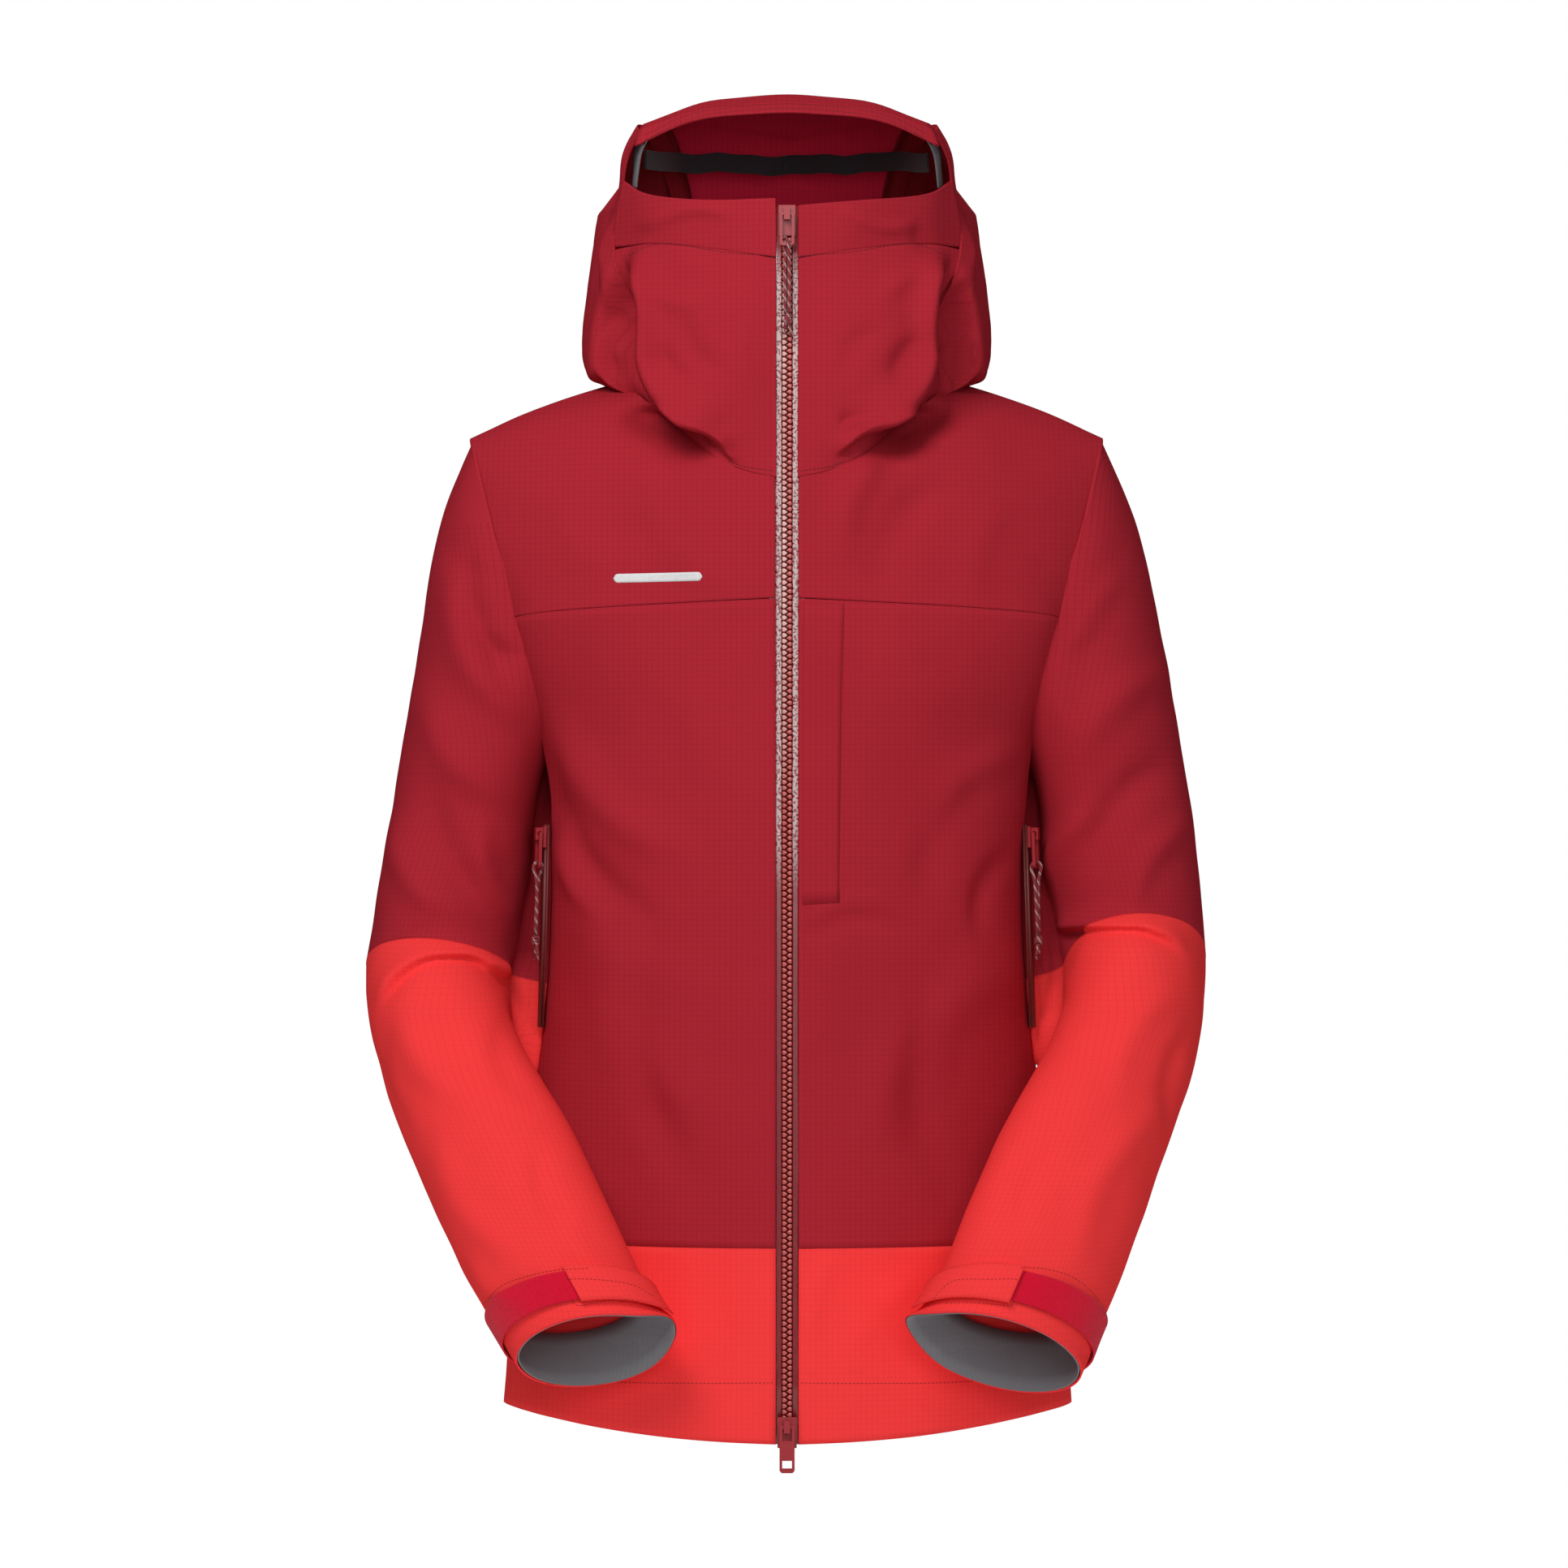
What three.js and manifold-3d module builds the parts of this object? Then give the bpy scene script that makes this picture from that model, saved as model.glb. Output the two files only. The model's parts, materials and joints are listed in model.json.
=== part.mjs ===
// A hooded hardshell jacket, standing as if worn: closed shells for the cloth, and the zips, sliders,
// pulls and cuff tabs as separate pieces. Millimetres, +Z up, the wearer faces -Y.
// Heights are measured from the front of the hem, and the last group moves the hang loop to the origin.
// Cloth on the wearer's other side is a mirror copy, so every shape is written for positive x.
import * as THREE from "three";
import { mergeVertices } from "three/addons/utils/BufferGeometryUtils.js";
import Module from "manifold-3d";

const wasm = await Module();
wasm.setup();

// ---------- driving dimensions ----------
const CLOTH = 1.2; // thickness of a cloth shell
const SEAM = 0.3; // each panel stops this far short of a seam

const ZIP_TOP = 811; // height of the closed zip
const ZIP_FOOT_Y = -130; // the zip at the hem
const ZIP_HEAD_Y = -114; // the zip at its top
const ZIP_SLOT = 7.3; // half the slot that the zip shows in
const HEM_BAND_TOP = 128;
const YOKE_Z = 553; // yoke seam at the zip
const NECK_FRONT_Z = 632; // neck seam at the zip
const CHIN_SEAM_Z = 776;
const FLAP_STEP = 5; // the wearer's right collar edge stands this much above the zip

const BACK_SEAM_Y = 92; // back of the neck seam
const SIDE_SEAM = 75; // degrees round the body from the front centre
// body sections: height, half width, depth of the back
const BODY = [[-20, 194, 120], [128, 184, 112], [255, 169, 102], [370, 162, 100], [449, 160, 105]];

const BAND = { foot: 848, top: 861 }; // the elastic band inside the hood, at its middle

const PIVOT_Y = -4.2; // a pull's bar stands this far in front of the cloth
const PULL_BAR = 2; // thickness of a pull's bars
const CROWN = { wide: 4, round: 2.6, hole: 1.75 }; // the slider's crown and the hole that the bar turns in
const CORD = { radius: 1.1, knot: 6, drop: 46, steps: 30 };
const POCKET = { foot: 258, head: 392, facing: 20, standOff: 4 }; // facing: degrees from straight sideways
const CHEST_POCKET = { foot: 352, share: 0.12 };
// turns round the cuff, and shares of the forearm's length
const CUFF = { strip: [-60, 105], stripV: [0.87, 0.94], tab: [88, 165], tabV: [0.86, 0.95] };

const HANG_LOOP = { width: 60, height: 26, strap: 6, thick: 2.4, y: 79, z: 716 };

// sleeve sections, armhole first: outer x, z, inner x, z, centre y, half depth, forward tilt in degrees
const UPPER_SLEEVE = {
  left: [[213, 664, 159, 449, -4, 62, 0], [236, 606, 167, 428, -2, 66, 0], [247, 536, 170, 400, 2, 66, 0],
    [259, 462, 171, 370, 4, 62, 4], [272, 392, 176, 340, 4, 60, 12], [285, 309, 184, 299, -4, 58, 20]],
  right: [[213, 664, 159, 449, -4, 62, 0], [239, 604, 167, 428, -2, 66, 0], [254, 534, 170, 400, 2, 66, 0],
    [267, 456, 171, 370, 4, 62, 4], [278, 388, 176, 342, 4, 60, 12], [283, 312, 184, 302, -4, 58, 20]],
};
const FOREARM = {
  left: [[285, 309, 184, 299, -4, 58, 20], [279, 262, 179, 258, -56, 54, 32],
    [258, 208, 145, 212, -101, 54, 36], [233, 157, 119, 162, -128, 53, 36],
    [206, 104, 95, 112, -146, 51, 34], [177, 58, 73, 71, -164, 50, 33]],
  right: [[283, 312, 184, 302, -4, 58, 20], [277, 262, 179, 262, -58, 54, 32],
    [256, 208, 145, 214, -104, 54, 36], [236, 157, 121, 164, -130, 53, 36],
    [215, 104, 100, 114, -148, 51, 34], [192, 50, 80, 77, -166, 50, 33]],
};

const colours = {
  dark: [0x9c2634, 0.75, 0], bright: [0xe13a3c, 0.75, 0], grey: [0x6e6e76, 0.85, 0],
  black: [0x26242a, 0.9, 0], strip: [0xd3122f, 0.95, 0], tape: [0xa01526, 0.3, 0],
  teeth: [0xbe4a44, 0.4, 0], metal: [0xb02a38, 0.35, 0.3],
  cord: [0x8e1b2c, 0.8, 0],
};

// ---------- plain helpers ----------
const V = (x, y, z) => new THREE.Vector3(x, y, z);
const lerp = (a, b, t) => a + (b - a) * t;
const radians = THREE.MathUtils.degToRad;
const zipY = (z) => lerp(ZIP_FOOT_Y, ZIP_HEAD_Y, z / ZIP_TOP);
const onZip = (z) => V(ZIP_SLOT, zipY(z), z);

// a smooth curve through points, as a function of 0..1
function through(...points) {
  const curve = new THREE.CatmullRomCurve3(points, false, "centripetal");
  return (t) => curve.getPoint(THREE.MathUtils.clamp(t, 0, 1));
}

// one curve after another; the first ends where t reaches share
const joined = (first, second, share) => (t) =>
  t <= share ? first(t / share) : second((t - share) / (1 - share));

// a curve over the chest or back, from the centre p to the side q; round 1 turns fully towards the side
const over = (p, q, round) => (t) => {
  const turn = (t * Math.PI) / 2;
  const across = lerp(t, Math.sin(turn), round);
  const deep = lerp(t * t, 1 - Math.cos(turn), round);
  return V(lerp(p.x, q.x, across), lerp(p.y, q.y, deep), lerp(p.z, q.z, t));
};

// the smooth patch between four edges: u runs from left to right, v from bottom to top
const patch = (bottom, top, left, right) => (u, v) => {
  const sum = bottom(u).multiplyScalar(1 - v).addScaledVector(top(u), v);
  sum.addScaledVector(left(v), 1 - u).addScaledVector(right(v), u);
  sum.addScaledVector(bottom(0), -(1 - u) * (1 - v)).addScaledVector(bottom(1), -u * (1 - v));
  return sum.addScaledVector(top(0), -(1 - u) * v).addScaledVector(top(1), -u * v);
};

// cloth that stands out from its patch, most in the middle
const full = (surface, out, footShare = 1) => (u, v) => {
  const lift = 4 * u * (1 - u) * Math.pow(4 * v * (1 - v), footShare);
  return surface(u, v).addScaledVector(out, lift);
};

const reversed = (curve) => (t) => curve(1 - t);
const straight = (p, q) => (t) => p.clone().lerp(q, t);
const otherSide = (curve) => (t) => curve(t).multiply(V(-1, 1, 1));

// from a half line that ends in the middle of the body, the whole line, positive x first
const bothSides = (half) => (t) => (t < 0.5 ? half(2 * t) : otherSide(half)(2 - 2 * t));

// a rectangle of a surface
const region = (surface, u0, u1, v0, v1) => (u, v) => surface(lerp(u0, u1, u), lerp(v0, v1, v));

function normalAt(surface, u, v) {
  const step = 0.01;
  const across = surface(Math.min(u + step, 1), v).sub(surface(Math.max(u - step, 0), v));
  const up = surface(u, Math.min(v + step, 1)).sub(surface(u, Math.max(v - step, 0)));
  return across.cross(up).normalize();
}

function geometryOf(points, triangles) {
  const geometry = new THREE.BufferGeometry();
  geometry.setAttribute("position", new THREE.Float32BufferAttribute(points.flatMap((p) => p.toArray()), 3));
  geometry.setIndex(triangles.flat());
  geometry.computeVertexNormals();
  return geometry;
}

// A closed shell on a surface. Its outer face is lifted by lift along the surface's normal. With ring,
// u = 0 and u = 1 are the same line and the shell is a sleeve, open at both ends.
function shell(surface, { nu, nv, thick = CLOTH, lift = 0, edge = SEAM, ring = false }) {
  const wide = surface(0, 0.5).distanceTo(surface(0.5, 0.5)) + surface(0.5, 0.5).distanceTo(surface(1, 0.5));
  const tall = surface(0.5, 0).distanceTo(surface(0.5, 0.5)) + surface(0.5, 0.5).distanceTo(surface(0.5, 1));
  const [eu, ev] = [ring ? 0 : edge / wide, edge / tall];
  const columns = ring ? nu : nu + 1;
  const at = (side, i, j) => (side * (nv + 1) + j) * columns + (ring ? i % nu : i);
  const points = [];
  for (const depth of [-lift, thick - lift]) {
    for (let j = 0; j <= nv; j++) {
      for (let i = 0; i < columns; i++) {
        const [u, v] = [lerp(eu, 1 - eu, i / nu), lerp(ev, 1 - ev, j / nv)];
        points.push(surface(u, v).addScaledVector(normalAt(surface, u, v), -depth));
      }
    }
  }
  const triangles = [];
  const quad = (a, b, c, d) => triangles.push([a, b, c], [a, c, d]);
  for (let j = 0; j < nv; j++) {
    for (let i = 0; i < nu; i++) {
      quad(at(0, i, j), at(0, i + 1, j), at(0, i + 1, j + 1), at(0, i, j + 1));
      quad(at(1, i, j + 1), at(1, i + 1, j + 1), at(1, i + 1, j), at(1, i, j));
    }
  }
  for (let i = 0; i < nu; i++) {
    quad(at(1, i, 0), at(1, i + 1, 0), at(0, i + 1, 0), at(0, i, 0));
    quad(at(0, i, nv), at(0, i + 1, nv), at(1, i + 1, nv), at(1, i, nv));
  }
  for (let j = 0; j < nv && !ring; j++) {
    quad(at(0, 0, j), at(0, 0, j + 1), at(1, 0, j + 1), at(1, 0, j));
    quad(at(1, nu, j), at(1, nu, j + 1), at(0, nu, j + 1), at(0, nu, j));
  }
  return geometryOf(points, triangles);
}

function mirrored(geometry) {
  const copy = geometry.clone();
  copy.scale(-1, 1, 1);
  const index = copy.getIndex().array;
  for (let i = 0; i < index.length; i += 3) {
    [index[i + 1], index[i + 2]] = [index[i + 2], index[i + 1]];
  }
  return copy;
}

// manifold-3d in and out, for joins and cuts
function solidOf(geometry) {
  const bare = geometry.clone();
  bare.deleteAttribute("normal");
  bare.deleteAttribute("uv");
  const merged = mergeVertices(bare, 1e-4);
  const vertProperties = new Float32Array(merged.getAttribute("position").array);
  const triVerts = new Uint32Array(merged.getIndex().array);
  return new wasm.Manifold(new wasm.Mesh({ numProp: 3, vertProperties, triVerts }));
}

function geometryFrom(solid) {
  const mesh = solid.getMesh();
  const geometry = new THREE.BufferGeometry();
  geometry.setAttribute("position", new THREE.BufferAttribute(new Float32Array(mesh.vertProperties), 3));
  geometry.setIndex(Array.from(mesh.triVerts));
  return geometry;
}

const box = (x0, x1, y0, y1, z0, z1) =>
  new THREE.BoxGeometry(x1 - x0, y1 - y0, z1 - z0).translate((x0 + x1) / 2, (y0 + y1) / 2, (z0 + z1) / 2);

const jacket = new THREE.Group();
function piece(name, geometry, colour, group = jacket) {
  const [color, roughness, metalness] = colours[colour];
  const mesh = new THREE.Mesh(geometry, new THREE.MeshStandardMaterial({ color, roughness, metalness }));
  mesh.name = name;
  group.add(mesh);
}

// left and right are the viewer's, facing the front: the viewer's right is positive x
function pair(name, geometry, colour) {
  piece(`${name}_right`, geometry, colour);
  piece(`${name}_left`, mirrored(geometry), colour);
}

// ---------- seam lines ----------
const bodyAt = (z) => {
  const k = Math.max(1, BODY.findIndex((row) => row[0] >= z));
  const [low, high] = [BODY[k - 1], BODY[k]];
  const t = (z - low[0]) / (high[0] - low[0]);
  return { half: lerp(low[1], high[1], t), back: lerp(low[2], high[2], t) };
};

// a point of the body's skin, turn degrees round from the front centre
function body(z, turn) {
  const { half, back } = bodyAt(z);
  const [s, c] = [Math.sin(radians(turn)), Math.cos(radians(turn))];
  return V(half * s, (c > 0 ? zipY(z) : -back) * c, z);
}

// the turn at which the body's skin meets the edge of the zip slot
const slotTurn = (z) => THREE.MathUtils.radToDeg(Math.asin(ZIP_SLOT / bodyAt(z).half));

// the hem rises at the sides and drops at the back
const hemZ = (turn) => 2.5 + 10 * Math.cos(radians(turn)) - 12.5 * Math.cos(radians(2 * turn));

const level = (z, from, to) => (t) => body(z, lerp(from, to, t));
const hemLine = (from, to) => (t) => {
  const turn = lerp(from, to, t);
  const p = body(0, turn);
  return V(p.x, p.y, hemZ(turn));
};

// a ring round a sleeve; turn 0 is the outer side, 90 the front, 180 the inner side
function ringPoint(row, turn) {
  const [ox, oz, ix, iz, y, depth, tilt] = row;
  const [c, s] = [Math.cos(radians(turn)), Math.sin(radians(turn))];
  const [cx, cz, hx, hz] = [(ox + ix) / 2, (oz + iz) / 2, (ox - ix) / 2, (oz - iz) / 2];
  const t = radians(tilt);
  return V(cx + hx * c, y - depth * s * Math.cos(t), cz + hz * c + depth * s * Math.sin(t));
}

const ARMHOLE = UPPER_SLEEVE.left[0];
const armhole = (from, to) => (t) => ringPoint(ARMHOLE, lerp(from, to, t));
const ARM_FRONT = 148; // armhole turns where the side seams and the yoke seam meet it
const ARM_BACK = 212;
const ARM_YOKE = 98;
const ARM_YOKE_BACK = 262;

const yokePoint = ringPoint(ARMHOLE, ARM_YOKE);
const yokeBackPoint = ringPoint(ARMHOLE, ARM_YOKE_BACK);
const yokeSeam = over(onZip(YOKE_Z), yokePoint, 0.8);
const backMiddle = V(0, 108, YOKE_Z);
const yokeBackSeam = over(backMiddle, yokeBackPoint, 0.8);

const sideSeam = (turn, end) =>
  through(body(HEM_BAND_TOP, turn), body(250, turn), body(370, turn), ringPoint(ARMHOLE, end));
const frontSideSeam = sideSeam(SIDE_SEAM, ARM_FRONT);
const backSideSeam = sideSeam(180 - SIDE_SEAM, ARM_BACK);

const neckPoint = V(112, -8, 702); // where shoulder seam and neck seam meet
const cheekFoot = V(70, -92, 664);
const napeSide = V(50, 84, 702);
const neckFront = through(onZip(NECK_FRONT_Z), V(30, -114.5, 638), V(52, -106, 648), cheekFoot);
const neckSide = through(cheekFoot, V(98, -54, 690), neckPoint);
const neckBackSide = through(neckPoint, V(92, 46, 705), napeSide);
const napeHalf = through(napeSide, V(26, BACK_SEAM_Y - 2, 700), V(0, BACK_SEAM_Y, 700));
const shoulderSeam = through(neckPoint, V(136, -8, 695), V(173, -7, 682), ringPoint(ARMHOLE, 0));

const chinEnd = V(119, -42, 788);
const openingCorner = V(108, -58, 833);
const brimCorner = V(98, -84, 864);
const crownBack = V(76, 84, 838);
const cheekFold = through(cheekFoot, V(96, -80, 684), V(106, -74, 706), V(106, -70, 745), chinEnd);
const chinEndLine = through(chinEnd, V(114, -50, 812), openingCorner);
const openingSide = through(openingCorner, V(106, -70, 850), brimCorner);
const crownSeam = through(brimCorner, V(94, -30, 878), V(88, 35, 874), crownBack);
const napeSeam = through(crownBack, V(66, 112, 785), V(56, 104, 735), napeSide);
const brimLine = through(brimCorner, V(56, -92, 882), V(0, -96, 888));

// ---------- cloth of the body ----------
const zipEdge = (from, to) => (t) => onZip(lerp(from, to, t));

function hemBands() {
  const upTo = (turn) => (t) => body(lerp(hemZ(turn), HEM_BAND_TOP, t), turn);
  const front = patch(hemLine(slotTurn(0), 90), level(HEM_BAND_TOP, slotTurn(HEM_BAND_TOP), 90),
    zipEdge(0, HEM_BAND_TOP), upTo(90));
  pair("hem_band", shell(front, { nu: 9, nv: 3 }), "bright");
  const back = patch(bothSides(hemLine(90, 180)), bothSides(level(HEM_BAND_TOP, 90, 180)),
    upTo(90), otherSide(upTo(90)));
  piece("hem_band_back", shell(back, { nu: 16, nv: 3 }), "bright");
}

const frontSurface = patch(
  level(HEM_BAND_TOP, slotTurn(HEM_BAND_TOP), SIDE_SEAM), yokeSeam, zipEdge(HEM_BAND_TOP, YOKE_Z),
  joined(frontSideSeam, armhole(ARM_FRONT, ARM_YOKE), 0.8));

function bodyPanels() {
  pair("front_panel", shell(frontSurface, { nu: 9, nv: 10 }), "dark");
  const side = patch(level(HEM_BAND_TOP, SIDE_SEAM, 180 - SIDE_SEAM), armhole(ARM_FRONT, ARM_BACK),
    frontSideSeam, backSideSeam);
  pair("side_panel", shell(side, { nu: 4, nv: 8, edge: 0.9 }), "dark");

  const hemToYoke = joined(backSideSeam, armhole(ARM_BACK, ARM_YOKE_BACK), 0.8);
  const back = patch(bothSides(level(HEM_BAND_TOP, 180 - SIDE_SEAM, 180)), bothSides(reversed(yokeBackSeam)),
    hemToYoke, otherSide(hemToYoke));
  piece("back_panel", shell(back, { nu: 16, nv: 10 }), "dark");

  const zipToShoulder = joined(joined(zipEdge(YOKE_Z, NECK_FRONT_Z), neckFront, 3 / 7), neckSide, 0.7);
  const frontYoke = patch(yokeSeam, shoulderSeam, zipToShoulder, armhole(ARM_YOKE, 0));
  pair("front_yoke", shell(frontYoke, { nu: 8, nv: 10, edge: 0.6 }), "dark");

  const armToNape = joined(joined(reversed(shoulderSeam), neckBackSide, 5 / 8), napeHalf, 0.8);
  const backYoke = patch(bothSides(reversed(yokeBackSeam)), bothSides(armToNape),
    armhole(ARM_YOKE_BACK, 360), otherSide(armhole(ARM_YOKE_BACK, 360)));
  piece("back_yoke", shell(backYoke, { nu: 20, nv: 6, edge: 0.6 }), "dark");
}

// ---------- collar and hood ----------
function collar() {
  const chinSeam = through(onZip(CHIN_SEAM_Z), V(45, -103, 783), V(90, -78, 789), chinEnd);
  const cheek = full(patch(neckFront, chinSeam, zipEdge(NECK_FRONT_Z, CHIN_SEAM_Z), cheekFold), V(3, -8, 0));
  pair("collar_panel", shell(cheek, { nu: 8, nv: 7, edge: 1.6 }), "dark");
  const topEdge = (top) => through(onZip(top), V(50, -103, 815), V(96, -76, 822), openingCorner);
  const guard = (top) => patch(chinSeam, topEdge(top), zipEdge(CHIN_SEAM_Z, top), chinEndLine);
  const size = { nu: 8, nv: 2, edge: 1.4 };
  piece("chin_guard_right", shell(guard(ZIP_TOP), size), "dark");
  piece("chin_guard_left", mirrored(shell(guard(ZIP_TOP + FLAP_STEP), size)), "dark");
}

function hood() {
  const face = joined(joined(cheekFold, chinEndLine, 0.7), openingSide, 0.8);
  const side = full(patch(joined(neckSide, neckBackSide, 0.5), crownSeam, face, reversed(napeSeam)),
    V(34, 8, 0), 0.5);
  pair("hood_side", shell(side, { nu: 10, nv: 10, edge: 3.4 }), "dark");
  pair("face_facing", shell(region(side, 0, 0.1, 0.78, 1), { nu: 2, nv: 4, lift: -2.4, thick: 0.8 }), "grey");

  const seam = joined(crownSeam, napeSeam, 0.6);
  const across = (half) => reversed(bothSides(half));
  const centre = full(patch(across(brimLine), across(napeHalf), otherSide(seam), seam), V(0, 8, 14));
  piece("hood_centre_panel", shell(centre, { nu: 8, nv: 12, edge: 1.2 }), "dark");
  const inner = region(centre, 0.06, 0.94, 0.02, 0.9);
  piece("hood_lining", shell(inner, { nu: 6, nv: 10, lift: -4.5, thick: 1 }), "dark");

  const lipCorner = V(101, -94, 852);
  const lip = through(lipCorner, V(58, -108, 870), V(0, -116, 876));
  const brimEnd = straight(lipCorner, brimCorner);
  const brim = patch(across(lip), across(brimLine), otherSide(brimEnd), brimEnd);
  piece("hood_brim", shell(brim, { nu: 12, nv: 2, edge: 0.9, thick: 1.6 }), "dark");

  const bandEdge = (z) => through(V(94, -46, z - 8), V(70, 20, z - 2), V(0, 62, z));
  const bandEnd = (t) => bandEdge(lerp(BAND.foot, BAND.top, t))(0);
  const band = patch(across(bandEdge(BAND.foot)), across(bandEdge(BAND.top)), otherSide(bandEnd), bandEnd);
  piece("hood_elastic_band", shell(band, { nu: 12, nv: 1 }), "black");
}

// ---------- sleeves ----------
const cubic = (a, b, c, d, t) =>
  b + 0.5 * t * (c - a + t * (2 * a - 5 * b + 4 * c - d + t * (3 * (b - c) + d - a)));

// the sleeve's skin: u is a turn round it, v runs from the body to the hand
const sleeveSurface = (rows) => (u, v) => {
  const place = Math.min(v * (rows.length - 1), rows.length - 1.0001);
  const k = Math.floor(place);
  const pick = (n) => rows[Math.max(0, Math.min(rows.length - 1, n))];
  const row = rows[k].map((b, n) => cubic(pick(k - 1)[n], b, pick(k + 1)[n], pick(k + 2)[n], place - k));
  return ringPoint(row, 360 * u);
};

function sleeve(side) {
  const hand = (geometry) => (side === "left" ? mirrored(geometry) : geometry);
  const upper = sleeveSurface(UPPER_SLEEVE[side]);
  piece(`upper_sleeve_${side}`, hand(shell(upper, { nu: 16, nv: 7, ring: true, edge: 1.4 })), "dark");
  const fore = sleeveSurface(FOREARM[side]);
  piece(`forearm_${side}`, hand(shell(fore, { nu: 16, nv: 7, ring: true })), "bright");
  const inside = { nu: 16, nv: 1, ring: true, lift: -2.2, thick: 0.8 };
  piece(`cuff_lining_${side}`, hand(shell(region(fore, 0, 1, 0.84, 1), inside)), "grey");
  const onCuff = ([from, to], share) => region(fore, from / 360, to / 360, ...share);
  const loops = shell(onCuff(CUFF.strip, CUFF.stripV), { nu: 12, nv: 1, lift: 2.2, thick: 1, edge: 0 });
  piece(`cuff_loop_strip_${side}`, hand(loops), "strip");
  const tab = shell(onCuff(CUFF.tab, CUFF.tabV), { nu: 7, nv: 1, lift: 4.4, thick: 1.6, edge: 0 });
  piece(`cuff_tab_${side}`, hand(tab), "bright");
}

// ---------- zips ----------
// A slider: a front plate, a crown that holds the pull's bar, and, where the chain has two halves, a web
// between them and a back plate. Its length runs up from z = 0, and y = 0 is the cloth's outer face.
function slider({ wide, long, pivot, gap, back }) {
  const plateBack = gap - 0.3;
  const half = CROWN.wide / 2;
  const crown = box(-half, half, PIVOT_Y - CROWN.round, plateBack - 1, pivot - 4, pivot + 4);
  const hole = new THREE.CylinderGeometry(CROWN.hole, CROWN.hole, CROWN.wide + 2, 12).rotateZ(Math.PI / 2);
  let solid = solidOf(box(-wide / 2, wide / 2, plateBack - 2, plateBack, 0, long)).add(solidOf(crown));
  solid = solid.subtract(solidOf(hole.translate(0, PIVOT_Y, pivot)));
  if (back) {
    solid = solid.add(solidOf(box(-0.25, 0.25, plateBack - 0.5, back + 0.5, 1, long - 1)));
    solid = solid.add(solidOf(box(-wide / 2, wide / 2, back, back + 1, 0, long)));
  }
  return geometryFrom(solid);
}

// a flat frame with windows, its top bar on the pivot at z = 0
function frameGeometry(wide, tall, windows, bar) {
  const outline = new THREE.Shape();
  const [left, top, foot] = [-wide / 2, bar / 2, bar / 2 - tall];
  const corner = 1.5;
  outline.moveTo(left, top).lineTo(-left, top).lineTo(-left, foot + corner).lineTo(-left - corner, foot);
  outline.lineTo(left + corner, foot).lineTo(left, foot + corner).closePath();
  for (const [from, to] of windows) {
    const hole = new THREE.Path();
    const side = left + bar * 0.9;
    hole.moveTo(side, from).lineTo(side, to).lineTo(-side, to).lineTo(-side, from).closePath();
    outline.holes.push(hole);
  }
  const geometry = new THREE.ExtrudeGeometry(outline, { depth: bar, bevelEnabled: false });
  return geometry.translate(0, 0, -bar / 2).rotateX(Math.PI / 2);
}

// a cord doubled over the pull's lower bar: up behind it, over, and down in front to the knot
function doubledCord(bar, drop) {
  const [r, away] = [CORD.radius, CORD.radius + PULL_BAR / 2 + 1.05];
  const route = [V(-r - 0.2, 0, bar - drop), V(-r - 0.2, 0.8, bar - 12), V(-0.8, away, bar - 1.5),
    V(-0.5, 0.8 * away, bar + 1.7), V(0, 0, bar + away), V(0.5, -0.8 * away, bar + 1.7),
    V(0.8, -away, bar - 1.5), V(r + 0.2, -0.8, bar - 12), V(r + 0.2, 0, bar - drop)];
  const section = new THREE.Shape();
  for (let k = 0; k < 8; k++) {
    const turn = ((k + 0.5) * Math.PI) / 4;
    const [x, y] = [r * Math.cos(turn), r * Math.sin(turn)];
    k ? section.lineTo(x, y) : section.moveTo(x, y);
  }
  section.closePath();
  const extrudePath = new THREE.CatmullRomCurve3(route, false, "centripetal");
  return new THREE.ExtrudeGeometry(section, { steps: CORD.steps, extrudePath, bevelEnabled: false });
}

function knot(top) {
  const [r, half] = [CORD.knot / 2, CORD.knot * 0.62];
  const profile = [[0, -half], [r * 0.7, -half], [r, 0], [r * 0.8, half], [0, half]];
  const geometry = new THREE.LatheGeometry(profile.map(([x, y]) => new THREE.Vector2(x, y)), 10);
  return geometry.rotateX(Math.PI / 2).translate(0, 0, top - half);
}

// a pull on its pivot, with its cord and knot
function cordedPull(name, group, pivot, tall) {
  const bar = PULL_BAR - tall;
  const place = (geometry) => geometry.translate(0, PIVOT_Y, pivot);
  piece(`${name}_pull`, place(frameGeometry(9.6, tall, [[-PULL_BAR / 2, bar + PULL_BAR / 2]], PULL_BAR)),
    "metal", group);
  piece(`${name}_pull_cord`, place(doubledCord(bar, CORD.drop)), "cord", group);
  piece(`${name}_pull_knot`, place(knot(bar - CORD.drop - 0.3)), "cord", group);
}

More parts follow.
